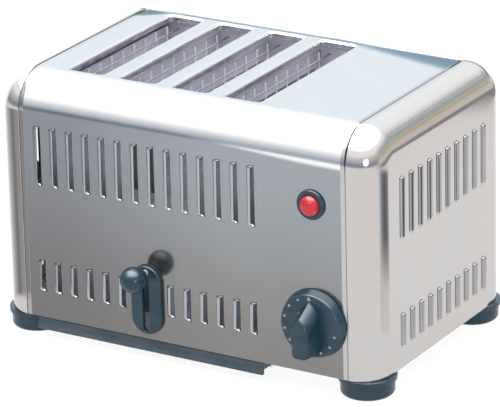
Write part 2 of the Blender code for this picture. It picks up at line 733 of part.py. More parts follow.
def foot(name, x, y):
    """Round plastic foot: collar under the body, rounded sole, screw recess from below."""
    top = FOOT_HEIGHT - CLEARANCE
    collar_base = top - FOOT_COLLAR_HEIGHT
    profile = [
        (FOOT_BORE_RADIUS, top),
        (FOOT_COLLAR_RADIUS, top),
        (FOOT_COLLAR_RADIUS, collar_base),
        (FOOT_RADIUS, collar_base),
        (FOOT_RADIUS, FOOT_EDGE),
        ((FOOT_RADIUS + FOOT_SOLE_RADIUS) / 2 + FOOT_EDGE / 8, FOOT_EDGE / 4),
        (FOOT_SOLE_RADIUS, 0),
        (FOOT_RECESS_RADIUS, 0),
        (FOOT_RECESS_RADIUS, FOOT_RECESS_DEPTH),
        (FOOT_BORE_RADIUS, FOOT_RECESS_DEPTH),
    ]
    turned(name, profile, FOOT_STEPS, BLACK_PLASTIC, (x, y, 0))


def crumb_tray(parent):
    """Open pan whose folded front lip shows under the front panel."""
    front = -INNER_Y - SHEET / 4
    bm = block((TRAY_LEFT, front, TRAY_FLOOR), (TRAY_RIGHT, TRAY_BACK, TRAY_RIM))
    top = [face for face in bm.faces if face.normal.z > FACING_SHARE]
    bmesh.ops.delete(bm, geom=top, context="FACES_ONLY")
    node = piece("crumb_tray", bm, DARK_TRAY, parent=parent)
    shell(node, SHEET)
    fold = (TRAY_LIP_TOP + TRAY_LIP_BOTTOM) / 2
    lip_outline = [
        (-INNER_Y, TRAY_LIP_TOP),
        (-HALF_DEPTH, TRAY_LIP_TOP),
        (-HALF_DEPTH, fold),
        (-HALF_DEPTH - TRAY_LIP_FLARE, TRAY_LIP_BOTTOM + SHEET),
        (-HALF_DEPTH - TRAY_LIP_FLARE, TRAY_LIP_BOTTOM),
        (-INNER_Y, TRAY_LIP_BOTTOM),
    ]
    boolean(node, "UNION", [side_on(outline(lip_outline, TRAY_LIP_WIDTH), TOAST_CENTRE_X)])


def tray_runner(name, face, side):
    """Folded rail beside the tray: web, lip under the tray, short flange to the base pan."""
    web = face + side * CLEARANCE
    outside = web + side * SHEET
    top = FOOT_HEIGHT - CLEARANCE
    shelf = TRAY_FLOOR - CLEARANCE
    profile = [
        (web, top),
        (web, shelf),
        (web - side * RUNNER_LIP, shelf),
        (web - side * RUNNER_LIP, shelf - SHEET),
        (outside, shelf - SHEET),
        (outside, top - SHEET),
        (outside + side * RUNNER_FLANGE, top - SHEET),
        (outside + side * RUNNER_FLANGE, top),
    ]
    bm = stand_up(outline(profile, RUNNER_LENGTH), 0)
    node = piece(name, bm, INNER_STEEL)
    ends = []
    for end in (-1, 1):
        across = sorted((outside, outside + side * (RUNNER_FLANGE + OVERRUN)))
        along = sorted((end * RUNNER_FLANGE_LENGTH / 2, end * (RUNNER_LENGTH / 2 + OVERRUN)))
        ends.append(block((across[0], along[0], shelf), (across[1], along[1], top + OVERRUN)))
    boolean(node, "DIFFERENCE", ends)


# Toasting chamber
def chamber_top(y):
    """Height under the wrap at a given depth, with its clearance."""
    past_roll = max(abs(y) - (HALF_DEPTH - ROLL_RADIUS), 0)
    inner_radius = ROLL_RADIUS - SHEET
    return BODY_TOP - ROLL_RADIUS + math.sqrt(inner_radius ** 2 - past_roll ** 2) - 2 * CLEARANCE


def end_wall(name, side, with_rack_slots):
    """Front or back wall of the chamber: a folded foot, tab holes, and the racks' slots."""
    width = CHAMBER_RIGHT - CHAMBER_LEFT - 2 * CLEARANCE
    inside = side * WALL_Y
    outside = side * (WALL_Y + SHEET)
    foot_end = side * (WALL_Y + CHAMBER_FLANGE)
    profile = [
        (inside, chamber_top(WALL_Y + SHEET)),
        (inside, FLOOR_Z),
        (foot_end, FLOOR_Z),
        (foot_end, FLOOR_Z + SHEET),
        (outside, FLOOR_Z + SHEET),
        (outside, chamber_top(WALL_Y + SHEET)),
    ]
    node = piece(name, side_on(outline(profile, width), TOAST_CENTRE_X), INNER_STEEL)
    low_y, high_y = sorted((inside - side * OVERRUN, outside + side * OVERRUN))
    cuts = []
    half_tab = ELEMENT_THICKNESS / 2 + CLEARANCE
    for x in ELEMENT_XS:
        for low, high in element_tabs():
            cuts.append(block((x - half_tab, low_y, low - CLEARANCE),
                              (x + half_tab, high_y, high + CLEARANCE)))
    if with_rack_slots:
        for x in SLOT_XS:
            low = RACK_Z - LIFT_TRAVEL - RACK_SHEET - RACK_SLOT_WIDTH / 4
            high = RACK_Z + RACK_SLOT_WIDTH / 2
            cuts.append(block((x - RACK_SLOT_WIDTH / 2, low_y, low), (x + RACK_SLOT_WIDTH / 2, high_y, high)))
    boolean(node, "DIFFERENCE", cuts)


def side_wall(name, x, side):
    """Left wall of the chamber, or the partition to the control side, on a folded foot."""
    inside = x
    outside = x + side * SHEET
    foot_end = x + side * CHAMBER_FLANGE
    top = chamber_top(WALL_Y + SHEET)
    profile = [
        (inside, top),
        (inside, FLOOR_Z),
        (foot_end, FLOOR_Z),
        (foot_end, FLOOR_Z + SHEET),
        (outside, FLOOR_Z + SHEET),
        (outside, top),
    ]
    piece(name, stand_up(outline(profile, 2 * (WALL_Y + SHEET)), 0), INNER_STEEL)


def element_tabs():
    """Heights of the two tabs by which each heating board hangs in the end walls."""
    low = ELEMENT_BOTTOM + ELEMENT_TAB_INSET
    high = ELEMENT_TOP - ELEMENT_TAB_INSET
    return [(low, low + ELEMENT_TAB_HEIGHT), (high - ELEMENT_TAB_HEIGHT, high)]


def heating_element(name, x):
    """Mica board with tabs, wound with flat heating ribbon."""
    half = ELEMENT_THICKNESS / 2
    end = WALL_Y - CLEARANCE
    tab_end = WALL_Y + SHEET
    node = piece(name, block((x - half, -end, ELEMENT_BOTTOM), (x + half, end, ELEMENT_TOP)), MICA)
    joined = []
    for low, high in element_tabs():
        joined.append(block((x - half, -tab_end, low), (x + half, tab_end, high)))
    boolean(node, "UNION", joined)
    ribbons = []
    wound_half = half + RIBBON_PROUD
    wound_end = SLOT_LENGTH / 2
    pitch = (ELEMENT_TOP - ELEMENT_BOTTOM) / RIBBON_COUNT
    for index in range(RIBBON_COUNT):
        low = ELEMENT_BOTTOM + (index + 1 / 2) * pitch - RIBBON_HEIGHT / 2
        ribbons.append(block((x - wound_half, -wound_end, low),
                             (x + wound_half, wound_end, low + RIBBON_HEIGHT)))
    boolean(node, "UNION", ribbons)


def bread_guard(name, x):
    """Wire grille beside a bread slot: two rails that reach the end walls, and uprights."""
    wire = GUARD_WIRE
    end = WALL_Y - CLEARANCE
    side = (GUARD_SPAN + wire) / 2
    low = GUARD_BOTTOM + wire
    high = GUARD_TOP - wire
    frame = [
        (-end, GUARD_BOTTOM), (end, GUARD_BOTTOM), (end, low), (side, low), (side, high), (end, high),
        (end, GUARD_TOP), (-end, GUARD_TOP), (-end, high), (-side, high), (-side, low), (-end, low),
    ]
    pitch = GUARD_SPAN / (GUARD_UPRIGHTS - 1)
    windows = []
    for index in range(GUARD_UPRIGHTS - 1):
        first = (wire - GUARD_SPAN) / 2 + index * pitch
        last = first + pitch - wire
        windows.append([(first, low), (first, high), (last, high), (last, low)])
    piece(name, side_on(outline(frame, wire, windows), x), BRIGHT_WIRE)


# Bread lift: racks, carriage, arm, rods, springs and brackets
def bread_rack(name, x, parent):
    """Toast carrier: spine with cross tines, its front tongue passes the chamber wall."""
    tongue_end = CARRIAGE_BACK_Y + CLEARANCE
    half_spine = RACK_SPINE / 2
    pitch = RACK_LENGTH / RACK_TINE_COUNT
    right = []
    for index in range(RACK_TINE_COUNT):
        middle = -RACK_LENGTH / 2 + (index + 1 / 2) * pitch
        right += [
            (half_spine, middle - RACK_TINE_WIDTH / 2),
            (RACK_TINE, middle - RACK_TINE_WIDTH / 2),
            (RACK_TINE, middle + RACK_TINE_WIDTH / 2),
            (half_spine, middle + RACK_TINE_WIDTH / 2),
        ]
    right = [(half_spine, tongue_end)] + right + [(half_spine, RACK_LENGTH / 2)]
    left = [(-across, along) for across, along in reversed(right)]
    bm = outline(right + left, RACK_SHEET)
    piece(name, bm, BRIGHT_WIRE, location=(x, 0, RACK_Z - LEVER_TOP), parent=parent)


def lift_carriage(parent):
    """Cross bar behind the racks' tongues, tongue down to the lever arm, two bushes."""
    bar_half = (SLOT_XS[-1] - SLOT_XS[0]) / 2 + RACK_SPINE / 2 + CARRIAGE_BAR_MARGIN
    bar_low = RACK_Z - CARRIAGE_BAR_HEIGHT / 2
    bar_high = RACK_Z + CARRIAGE_BAR_HEIGHT / 2
    tongue_half = CARRIAGE_TONGUE_WIDTH / 2
    tongue_low = LEVER_TOP - CARRIAGE_TONGUE_MARGIN
    heights = [
        (bar_half, bar_high), (-bar_half, bar_high), (-bar_half, bar_low), (-tongue_half, bar_low),
        (-tongue_half, tongue_low), (tongue_half, tongue_low), (tongue_half, bar_low), (bar_half, bar_low),
    ]
    points = [(across, up - LEVER_TOP) for across, up in heights]
    bm = stand_up(outline(points, CARRIAGE_SHEET), (CARRIAGE_BACK_Y + CARRIAGE_FRONT_Y) / 2)
    node = piece("lift_carriage", bm, INNER_STEEL, location=(TOAST_CENTRE_X, 0, 0), parent=parent)
    low = BUSH_BOTTOM - LEVER_TOP
    high = BUSH_TOP - LEVER_TOP
    spread = (-ROD_SPREAD, ROD_SPREAD)
    boolean(node, "UNION", [rod(BUSH_RADIUS, low, high, at=(x, ROD_Y)) for x in spread], "MANIFOLD")
    bore = ROD_RADIUS + CLEARANCE
    bores = [rod(bore, low - OVERRUN, high + OVERRUN, at=(x, ROD_Y)) for x in spread]
    boolean(node, "DIFFERENCE", bores, "MANIFOLD")


def lever(parent):
    """Round arm from the carriage through the panel, with its moulded ball knob."""
    bore_bottom = BALL_Y + BALL_RADIUS - BALL_BORE_DEPTH
    arm = rod(LEVER_ARM_RADIUS, bore_bottom + CLEARANCE, CARRIAGE_FRONT_Y - CLEARANCE, axis="Y")
    piece("lever_arm", arm, BRIGHT_WIRE, location=(TOAST_CENTRE_X, 0, 0), parent=parent, smooth=True)
    neck_angle = math.acos(BALL_NECK_RADIUS / BALL_RADIUS)
    profile = [(0, BALL_RADIUS)]
    for ring in range(1, BALL_RINGS + 1):
        angle = QUARTER_TURN - (QUARTER_TURN + neck_angle) * ring / BALL_RINGS
        profile.append((BALL_RADIUS * math.cos(angle), BALL_RADIUS * math.sin(angle)))
    neck_low = -BALL_RADIUS - BALL_NECK_LENGTH
    bore = LEVER_ARM_RADIUS + CLEARANCE
    profile += [(BALL_NECK_RADIUS, neck_low), (bore, neck_low)]
    bottom = BALL_BORE_DEPTH - BALL_RADIUS
    profile += [(bore, bottom), (0, bottom)]
    turned("lever_knob", profile, BALL_STEPS, BLACK_PLASTIC, (TOAST_CENTRE_X, BALL_Y, 0),
           rotation=(QUARTER_TURN, 0, 0), parent=parent)


def lever_plate():
    """Oval plate round the lever's slot, its outer edge rounded."""
    middle = -HALF_DEPTH - CLEARANCE - LEVER_PLATE_THICKNESS / 2
    bm = outline(stadium(LEVER_PLATE_WIDTH, LEVER_PLATE_HEIGHT, 0), LEVER_PLATE_THICKNESS)
    stand_up(bm, middle)
    front = middle - LEVER_PLATE_THICKNESS / 2
    rim = []
    for edge in bm.edges:
        on_front = all(near(vert.co.y, front) for vert in edge.verts)
        if on_front and len(edge.link_faces) == 2 and any(abs(face.normal.y) < FACING_SHARE
                                                         for face in edge.link_faces):
            rim.append(edge)
    round_edges(bm, rim, LEVER_PLATE_EDGE, 2)
    node = piece("lever_plate", bm, BLACK_PLASTIC, location=(TOAST_CENTRE_X, 0, LEVER_SLOT_Z), smooth=True)
    slot = outline(stadium(LEVER_SLOT_WIDTH, LEVER_SLOT_LENGTH, 0, steps=6),
                   LEVER_PLATE_THICKNESS + 2 * OVERRUN)
    boolean(node, "DIFFERENCE", [stand_up(slot, middle)])


def rod_bracket(name, shelf):
    """Shelf folded from a flange on the chamber wall, with holes for the guide rods."""
    wall = -WALL_Y - SHEET - CLEARANCE
    front = -WALL_Y - BRACKET_REACH
    top = shelf + BRACKET_SHEET
    profile = [
        (wall, shelf),
        (wall, shelf + BRACKET_FLANGE),
        (wall - BRACKET_SHEET, shelf + BRACKET_FLANGE),
        (wall - BRACKET_SHEET, top),
        (front, top),
        (front, shelf),
    ]
    node = piece(name, side_on(outline(profile, BRACKET_WIDTH), TOAST_CENTRE_X), INNER_STEEL)
    bore = ROD_RADIUS + CLEARANCE
    holes = []
    for x in (TOAST_CENTRE_X - ROD_SPREAD, TOAST_CENTRE_X + ROD_SPREAD):
        holes.append(rod(bore, shelf - OVERRUN, top + OVERRUN, at=(x, ROD_Y)))
    boolean(node, "DIFFERENCE", holes)


def guide_rod(name, x):
    """Ground rod that the carriage slides on."""
    bm = rod(ROD_RADIUS, LOWER_SHELF_Z, UPPER_SHELF_Z + BRACKET_SHEET + ROD_OVERLAP, at=(x, ROD_Y))
    piece(name, bm, BRIGHT_WIRE, smooth=True)


def return_spring(name, x):
    """Compression spring round a rod, from the lower shelf to the carriage's bush."""
    low = LOWER_SHELF_Z + BRACKET_SHEET + CLEARANCE + SPRING_WIRE
    high = BUSH_BOTTOM - CLEARANCE - SPRING_WIRE
    count = SPRING_CURLS * SPRING_POINTS_PER_CURL
    places = []
    for index in range(count + 1):
        angle = FULL_TURN * index / SPRING_POINTS_PER_CURL
        height = low + (high - low) * index / count
        places.append(Vector((SPRING_RADIUS * math.cos(angle), SPRING_RADIUS * math.sin(angle), height)))
    gap = min((places[index] - places[index + SPRING_POINTS_PER_CURL]).length
              for index in range(len(places) - SPRING_POINTS_PER_CURL)) - 2 * SPRING_WIRE
    print(name, "least gap between curls, mm:", round(gap * MM_PER_METRE, 2))
    curve = bpy.data.curves.new(name, "CURVE")
    curve.dimensions = "3D"
    curve.bevel_depth = SPRING_WIRE
    curve.bevel_resolution = 1
    curve.use_fill_caps = True
    spline = curve.splines.new("POLY")
    spline.points.add(len(places) - 1)
    for point, place in zip(spline.points, places):
        point.co = (*place, 1)
    finish(curve, BRIGHT_WIRE)
    node = bpy.data.objects.new(name, curve)
    node.location = (x, ROD_Y, 0)
    node.parent = centre
    parts.objects.link(node)


def hold_down_clip():
    """Bowed spring strip on the lower bracket that grips the carriage when it is down."""
    back = -WALL_Y - SHEET - CLEARANCE - BRACKET_SHEET - CLEARANCE
    foot_z = LOWER_SHELF_Z + BRACKET_SHEET + CLEARANCE
    bow = CARRIAGE_BACK_Y + CLEARANCE
    steps = 6
    outer = []
    for step in range(steps + 1):
        share = step / steps
        y = back - CLIP_SHEET + (bow - back + CLIP_SHEET) * math.sin(math.pi * share)
        outer.append((y, foot_z + CLIP_HEIGHT * share))
    inner = [(y + CLIP_SHEET, z) for y, z in reversed(outer)]
    piece("hold_down_clip", side_on(outline(outer + inner, CLIP_WIDTH), TOAST_CENTRE_X), BRIGHT_WIRE)


# Timer, lamp and supply side
def timer(parent):
    """Clockwork timer behind the panel with its bell, and the turning shaft and knob."""
    front = -INNER_Y + CLEARANCE
    back = front + TIMER_DEPTH
    half_x = TIMER_WIDTH / 2
    half_z = TIMER_HEIGHT / 2
    bm = block((TIMER_X - half_x, front, TIMER_Z - half_z), (TIMER_X + half_x, back, TIMER_Z + half_z))
    round_edges(bm, edges_along(bm, 1), TIMER_EDGE, 2)
    node = piece("timer_body", bm, BLACK_PLASTIC)
    socket = rod(TIMER_SHAFT_RADIUS + CLEARANCE, front - OVERRUN, front + TIMER_SOCKET_DEPTH, axis="Y",
                 at=(TIMER_X, TIMER_Z))
    boolean(node, "DIFFERENCE", [socket])
    bell = [
        (0, 0),
        (TIMER_BELL_RADIUS / 2, -TIMER_BELL_DEPTH / 8),
        (TIMER_BELL_RADIUS * FACING_SHARE, -TIMER_BELL_DEPTH / 2),
        (TIMER_BELL_RADIUS, -TIMER_BELL_DEPTH),
        (0, -TIMER_BELL_DEPTH),
    ]
    turned("timer_bell", bell, LAMP_STEPS, BRASS, (TIMER_X, back + CLEARANCE + TIMER_BELL_DEPTH, TIMER_Z),
           rotation=(-QUARTER_TURN, 0, 0))
    shaft_back = front + TIMER_SOCKET_DEPTH - CLEARANCE + HALF_DEPTH
    shaft = rod(TIMER_SHAFT_RADIUS, -SHAFT_REACH + CLEARANCE, shaft_back, axis="Y")
    piece("timer_shaft", shaft, BRIGHT_WIRE, parent=parent, smooth=True)
    timer_knob(parent)


def timer_knob(parent):
    """Skirted knob: hollow disc with a hub, and a grip bar across its face."""
    face = KNOB_PANEL_GAP + KNOB_SKIRT
    inner = KNOB_RADIUS - KNOB_WALL
    profile = [
        (0, face),
        (KNOB_RADIUS - 2 * KNOB_EDGE, face),
        (KNOB_RADIUS - KNOB_EDGE, face - KNOB_EDGE),
        (KNOB_RADIUS, KNOB_PANEL_GAP),
        (inner, KNOB_PANEL_GAP),
        (inner, face - KNOB_WALL),
        (KNOB_HUB_RADIUS, face - KNOB_WALL),
        (KNOB_HUB_RADIUS, KNOB_PANEL_GAP),
        (0, KNOB_PANEL_GAP),
    ]
    node = turned("timer_knob", profile, KNOB_STEPS, BLACK_PLASTIC, (0, 0, 0),
                  rotation=(QUARTER_TURN, 0, 0), parent=parent)
    half_x = GRIP_WIDTH / 2
    half_y = GRIP_LENGTH / 2
    top = face + GRIP_HEIGHT
    grip = block((-half_x, -GRIP_DROP - half_y, face - KNOB_WALL / 2), (half_x, half_y - GRIP_DROP, top))
    for vert in grip.verts:
        if near(vert.co.z, top):
            vert.co.x -= math.copysign(GRIP_DRAFT, vert.co.x)
            if vert.co.y > 0:
                vert.co.y -= GRIP_SLOPE
    upright = [edge for edge in grip.edges if not near(edge.verts[0].co.z, edge.verts[1].co.z)]
    round_edges(grip, upright, GRIP_ROUND, 3)
    crest = [edge for edge in grip.edges if all(near(vert.co.z, top) for vert in edge.verts)]
    round_edges(grip, crest, GRIP_DRAFT, 2)
    boolean(node, "UNION", [grip])
    bore = rod(TIMER_SHAFT_RADIUS + CLEARANCE, KNOB_PANEL_GAP - OVERRUN, SHAFT_REACH)
    boolean(node, "DIFFERENCE", [bore])


def pilot_lamp():
    """Lamp body with its bezel in the panel's hole, red lens in front, nut behind."""
    place = (LAMP_X, -HALF_DEPTH, LAMP_Z)
    facing = (QUARTER_TURN, 0, 0)
    socket = LAMP_BARREL_RADIUS - LAMP_WALL
    body = [
        (0, -LAMP_SOCKET_DEPTH),
        (socket, -LAMP_SOCKET_DEPTH),
        (socket, LAMP_BEZEL_HEIGHT),
        (LAMP_BEZEL_RADIUS - LAMP_WALL, LAMP_BEZEL_HEIGHT),
        (LAMP_BEZEL_RADIUS, LAMP_BEZEL_HEIGHT - LAMP_WALL),
        (LAMP_BEZEL_RADIUS, CLEARANCE),
        (LAMP_BARREL_RADIUS, CLEARANCE),
        (LAMP_BARREL_RADIUS, -LAMP_BARREL_LENGTH),
        (0, -LAMP_BARREL_LENGTH),
    ]
    turned("lamp_body", body, LAMP_STEPS, BLACK_PLASTIC, place, rotation=facing)
    seat = LAMP_BEZEL_HEIGHT + CLEARANCE
    lens = []
    for ring in range(LENS_RINGS + 1):
        angle = QUARTER_TURN * (1 - ring / LENS_RINGS)
        lens.append((LENS_RADIUS * math.cos(angle), seat + LENS_RISE * math.sin(angle)))
    stem = socket - CLEARANCE
    lens[0] = (0, lens[0][1])
    lens += [(stem, seat), (stem, CLEARANCE - LAMP_SOCKET_DEPTH), (0, CLEARANCE - LAMP_SOCKET_DEPTH)]
    turned("lamp_lens", lens, LAMP_STEPS, RED_LENS, place, rotation=facing)
    nut_front = SHEET + CLEARANCE
    nut = rod(LAMP_NUT_RADIUS, -nut_front - LAMP_NUT_HEIGHT, -nut_front, steps=6)
    node = piece("lamp_nut", nut, BLACK_PLASTIC, location=place, rotation=facing)
    bore = rod(LAMP_BARREL_RADIUS + CLEARANCE, -nut_front - LAMP_NUT_HEIGHT - OVERRUN, OVERRUN - nut_front)
    boolean(node, "DIFFERENCE", [bore])


def cord_gland():
    """Bushing in the back panel that the supply cord would pass through."""
    profile = [
        (GLAND_BORE_RADIUS, GLAND_SNOUT_LENGTH + CLEARANCE),
        (GLAND_SNOUT_RADIUS, GLAND_SNOUT_LENGTH + CLEARANCE),
        (GLAND_SNOUT_RADIUS, GLAND_FLANGE_HEIGHT + CLEARANCE),
        (GLAND_FLANGE_RADIUS, GLAND_FLANGE_HEIGHT + CLEARANCE),
        (GLAND_FLANGE_RADIUS, CLEARANCE),
        (GLAND_BODY_RADIUS, CLEARANCE),
        (GLAND_BODY_RADIUS, -GLAND_BODY_LENGTH),
        (GLAND_BORE_RADIUS, -GLAND_BODY_LENGTH),
    ]
    turned("cord_gland", profile, GLAND_STEPS, BLACK_PLASTIC, (GLAND_X, HALF_DEPTH, GLAND_Z),
           rotation=(-QUARTER_TURN, 0, 0))


def terminal_block():
    """Supply terminals on the base pan, one well for each way."""
    half = BLOCK_SIZE / 2
    middle = Vector((BLOCK_X, BLOCK_Y, FLOOR_Z + half.z))
    bm = block(middle - half, middle + half)
    round_edges(bm, edges_along(bm, 2), BLOCK_EDGE, 1)
    node = piece("terminal_block", bm, CERAMIC)
    wells = []
    half_well = BLOCK_WAY_SIZE / 2
    top = FLOOR_Z + BLOCK_SIZE.z
    for index in range(BLOCK_WAYS):
        y = BLOCK_Y + (index - (BLOCK_WAYS - 1) / 2) * BLOCK_WAY_PITCH
        wells.append(block((BLOCK_X - half_well, y - half_well, top - BLOCK_WAY_SIZE),
                           (BLOCK_X + half_well, y + half_well, top + OVERRUN)))
    boolean(node, "DIFFERENCE", wells)


# The toaster
wrap_cover()
end_cap("end_cap_left", -1)
end_cap("end_cap_right", 1)
base_pan()
for row, side_y in (("front", -1), ("rear", 1)):
    for column, side_x in (("left", -1), ("right", 1)):
        foot("foot_" + row + "_" + column, side_x * FOOT_X, side_y * FOOT_Y)
tray_slide = carrier("tray_slide", (0, 0, 0), centre)
crumb_tray(tray_slide)
tray_runner("tray_runner_left", TRAY_LEFT, -1)
tray_runner("tray_runner_right", TRAY_RIGHT, 1)

end_wall("chamber_wall_front", -1, with_rack_slots=True)
end_wall("chamber_wall_back", 1, with_rack_slots=False)
side_wall("chamber_wall_left", CHAMBER_LEFT, -1)
side_wall("control_partition", CHAMBER_RIGHT, 1)
for number, element_x in enumerate(ELEMENT_XS, 1):
    heating_element("heating_element_" + str(number), element_x)
for number, slot_x in enumerate(SLOT_XS, 1):
    bread_guard("bread_guard_" + str(number) + "_left", slot_x - GUARD_OFFSET)
    bread_guard("bread_guard_" + str(number) + "_right", slot_x + GUARD_OFFSET)

lift = carrier("bread_lift", (0, 0, LEVER_TOP), centre)
for number, slot_x in enumerate(SLOT_XS, 1):
    bread_rack("bread_rack_" + str(number), slot_x, lift)
lift_carriage(lift)
lever(lift)
lever_plate()
rod_bracket("rod_bracket_lower", LOWER_SHELF_Z)
rod_bracket("rod_bracket_upper", UPPER_SHELF_Z)
for hand, rod_x in (("left", TOAST_CENTRE_X - ROD_SPREAD), ("right", TOAST_CENTRE_X + ROD_SPREAD)):
    guide_rod("guide_rod_" + hand, rod_x)
    return_spring("return_spring_" + hand, rod_x)
hold_down_clip()

timer(carrier("timer_axis", (TIMER_X, -HALF_DEPTH, TIMER_Z), centre))
pilot_lamp()
cord_gland()
terminal_block()
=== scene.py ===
import math

import bmesh
import bpy
from mathutils import Matrix, Vector
from mathutils.geometry import delaunay_2d_cdt


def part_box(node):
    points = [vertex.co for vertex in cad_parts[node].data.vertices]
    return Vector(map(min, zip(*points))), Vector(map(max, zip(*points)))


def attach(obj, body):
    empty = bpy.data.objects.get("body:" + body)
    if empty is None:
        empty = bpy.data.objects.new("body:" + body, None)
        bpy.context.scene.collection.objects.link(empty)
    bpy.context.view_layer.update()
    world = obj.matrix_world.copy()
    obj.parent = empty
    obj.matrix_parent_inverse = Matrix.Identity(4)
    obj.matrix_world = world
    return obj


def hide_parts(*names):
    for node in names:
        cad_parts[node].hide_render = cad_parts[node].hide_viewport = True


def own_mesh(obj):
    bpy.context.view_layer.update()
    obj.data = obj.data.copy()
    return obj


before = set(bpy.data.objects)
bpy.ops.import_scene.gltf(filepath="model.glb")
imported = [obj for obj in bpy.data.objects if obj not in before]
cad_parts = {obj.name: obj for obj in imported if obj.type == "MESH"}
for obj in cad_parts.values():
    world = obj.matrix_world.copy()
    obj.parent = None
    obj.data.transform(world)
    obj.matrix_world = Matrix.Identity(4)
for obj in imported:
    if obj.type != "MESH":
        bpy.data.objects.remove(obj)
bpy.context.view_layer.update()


# Camera: a long lens looks down on the front right corner of the toaster, which fills
# the picture's width, with the horizon tipped a little.
EYE = Vector((1.697007, -2.788620, 1.350054))
EYE_AZIMUTH = math.radians(31.252)
EYE_ELEVATION = math.radians(20.778)
EYE_ROLL = math.radians(-1.441)
LENS = 293.61
SENSOR = 36
SIGHT = 60

back = Vector((math.sin(EYE_AZIMUTH) * math.cos(EYE_ELEVATION),
               -math.cos(EYE_AZIMUTH) * math.cos(EYE_ELEVATION),
               math.sin(EYE_ELEVATION)))
level_right = Vector((0, 0, 1)).cross(back).normalized()
level_up = back.cross(level_right)
tipped_right = math.cos(EYE_ROLL) * level_right + math.sin(EYE_ROLL) * level_up
tipped_up = back.cross(tipped_right)
camera = bpy.data.objects.new("camera", bpy.data.cameras.new("camera"))
camera.data.lens = LENS
camera.data.sensor_width = SENSOR
camera.data.sensor_fit = "HORIZONTAL"
camera.data.clip_end = SIGHT
camera.matrix_world = Matrix.Translation(EYE) @ Matrix((tipped_right, tipped_up, back)).transposed().to_4x4()
bpy.context.scene.collection.objects.link(camera)
bpy.context.scene.camera = camera
bpy.context.scene.view_settings.view_transform = "Standard"


# Floor: one wide pale sheet that keeps the toaster's soft shadow and reads as white to
# the lens and in the steel, in which its far part is dim. Two curved cards of graded
# gray stand beside the toaster, out of the picture, and show in its polished ends only.
FLOOR_HALF = 7
FLOOR_COLOUR = (0.86, 0.86, 0.86, 1)
FLOOR_WHITE_SHARE = 0.92
FLOOR_END_FRONT = (1.0, 1.8)
FLOOR_END_REAR = (0.72, 0.80)
FLOOR_FAR = 2.4
FLOOR_REAR_SPAN = (-0.3, 0.3)
FLOOR_RIGHT_SPAN = (-0.4, 0.1)
BEYOND_FRONT = (0.42, 0.47, 0.55, 1)
BEYOND_LEFT = (1.60, 1.60, 1.60, 1)
BEYOND_RIGHT = [(0.0, (0.40, 0.41, 0.44)), (0.50, (0.40, 0.40, 0.43)), (0.60, (0.95, 0.90, 0.86)),
                (1.0, (0.95, 0.88, 0.82))]
CARD_FOOT = (1.02, 1.00, 0.99, 1)
CARD_STEPS = 24
RIGHT_CARD = ((0.178, -0.096), 0.15, 0.15, (0.03, 0.095), 8, 57)
RIGHT_CARD_SHADES = [(0.0, (1.0, 1.0, 1.0)), (0.057, (0.90, 0.90, 0.91)), (0.138, (0.61, 0.64, 0.68)),
                     (0.24, (0.43, 0.46, 0.52)), (0.34, (0.28, 0.33, 0.38)), (0.443, (0.19, 0.237, 0.29)),
                     (0.557, (0.17, 0.21, 0.25)), (0.667, (0.20, 0.223, 0.25)), (0.789, (0.29, 0.29, 0.31)),
                     (0.93, (0.42, 0.41, 0.42)), (1.0, (0.62, 0.60, 0.60))]
LEFT_CARD = ((-0.165, -0.1), 0.08, 0.18, (0.0, 0.005), -119, -213)
LEFT_CARD_SHADES = [(0.0, (0.50, 0.50, 0.51)), (0.202, (0.50, 0.50, 0.51)), (0.287, (0.38, 0.38, 0.40)),
                    (0.361, (0.28, 0.30, 0.33)), (0.5, (0.48, 0.49, 0.51)), (0.666, (0.74, 0.72, 0.72)),
                    (0.862, (1.05, 1.02, 1.00)), (1.0, (1.20, 1.20, 1.20))]


def link_value(tree, socket, value):
    """Set a socket's own value, or link another node's output into it."""
    if isinstance(value, bpy.types.NodeSocket):
        tree.links.new(value, socket)
    else:
        socket.default_value = value


def add_node(tree, kind, settings=None, **inputs):
    """Node with its settings, and its inputs by name, a blank in a name written as _."""
    node = tree.nodes.new(kind)
    for name, value in (settings or {}).items():
        setattr(node, name, value)
    for name, value in inputs.items():
        link_value(tree, node.inputs[name.replace("_", " ")], value)
    return node


def reckon(tree, operation, first, second=0.0, third=0.0, clamp=False):
    """Result of one arithmetic step."""
    node = add_node(tree, "ShaderNodeMath", {"operation": operation, "use_clamp": clamp})
    for socket, value in zip(node.inputs, (first, second, third)):
        link_value(tree, socket, value)
    return node.outputs[0]


def varied(tree, value, by, base):
    """A base number with so much of a value added."""
    return reckon(tree, "MULTIPLY_ADD", value, by, base)


def ray_is(tree, kind):
    """1 for one kind of ray: Camera, Glossy or Transmission."""
    return tree.nodes.new("ShaderNodeLightPath").outputs["Is " + kind + " Ray"]


def seen_directly(tree):
    """1 for rays from the lens, from a mirror surface or through glass."""
    mirrored = reckon(tree, "MAXIMUM", ray_is(tree, "Glossy"), ray_is(tree, "Transmission"))
    return reckon(tree, "MAXIMUM", ray_is(tree, "Camera"), mirrored)


def object_place(tree):
    """Place on the piece, in metres from the frame's origin."""
    return tree.nodes.new("ShaderNodeTexCoord").outputs["Object"]


def parts_of(tree, vector):
    """The three numbers of a vector."""
    return add_node(tree, "ShaderNodeSeparateXYZ", Vector=vector).outputs


def new_material(name):
    """Empty material and its tree."""
    material = bpy.data.materials.new(name)
    material.use_nodes = True
    material.node_tree.nodes.clear()
    return material, material.node_tree


def surface_out(tree, shader):
    """Material output of a shader."""
    add_node(tree, "ShaderNodeOutputMaterial", Surface=shader)


def between(tree, value, low, high, from_value=0.0, to_value=1.0):
    """Smooth step of a value from one number to another."""
    node = add_node(tree, "ShaderNodeMapRange", {"interpolation_type": "SMOOTHSTEP"}, Value=value,
                    From_Min=low, From_Max=high, To_Min=from_value, To_Max=to_value)
    return node.outputs[0]


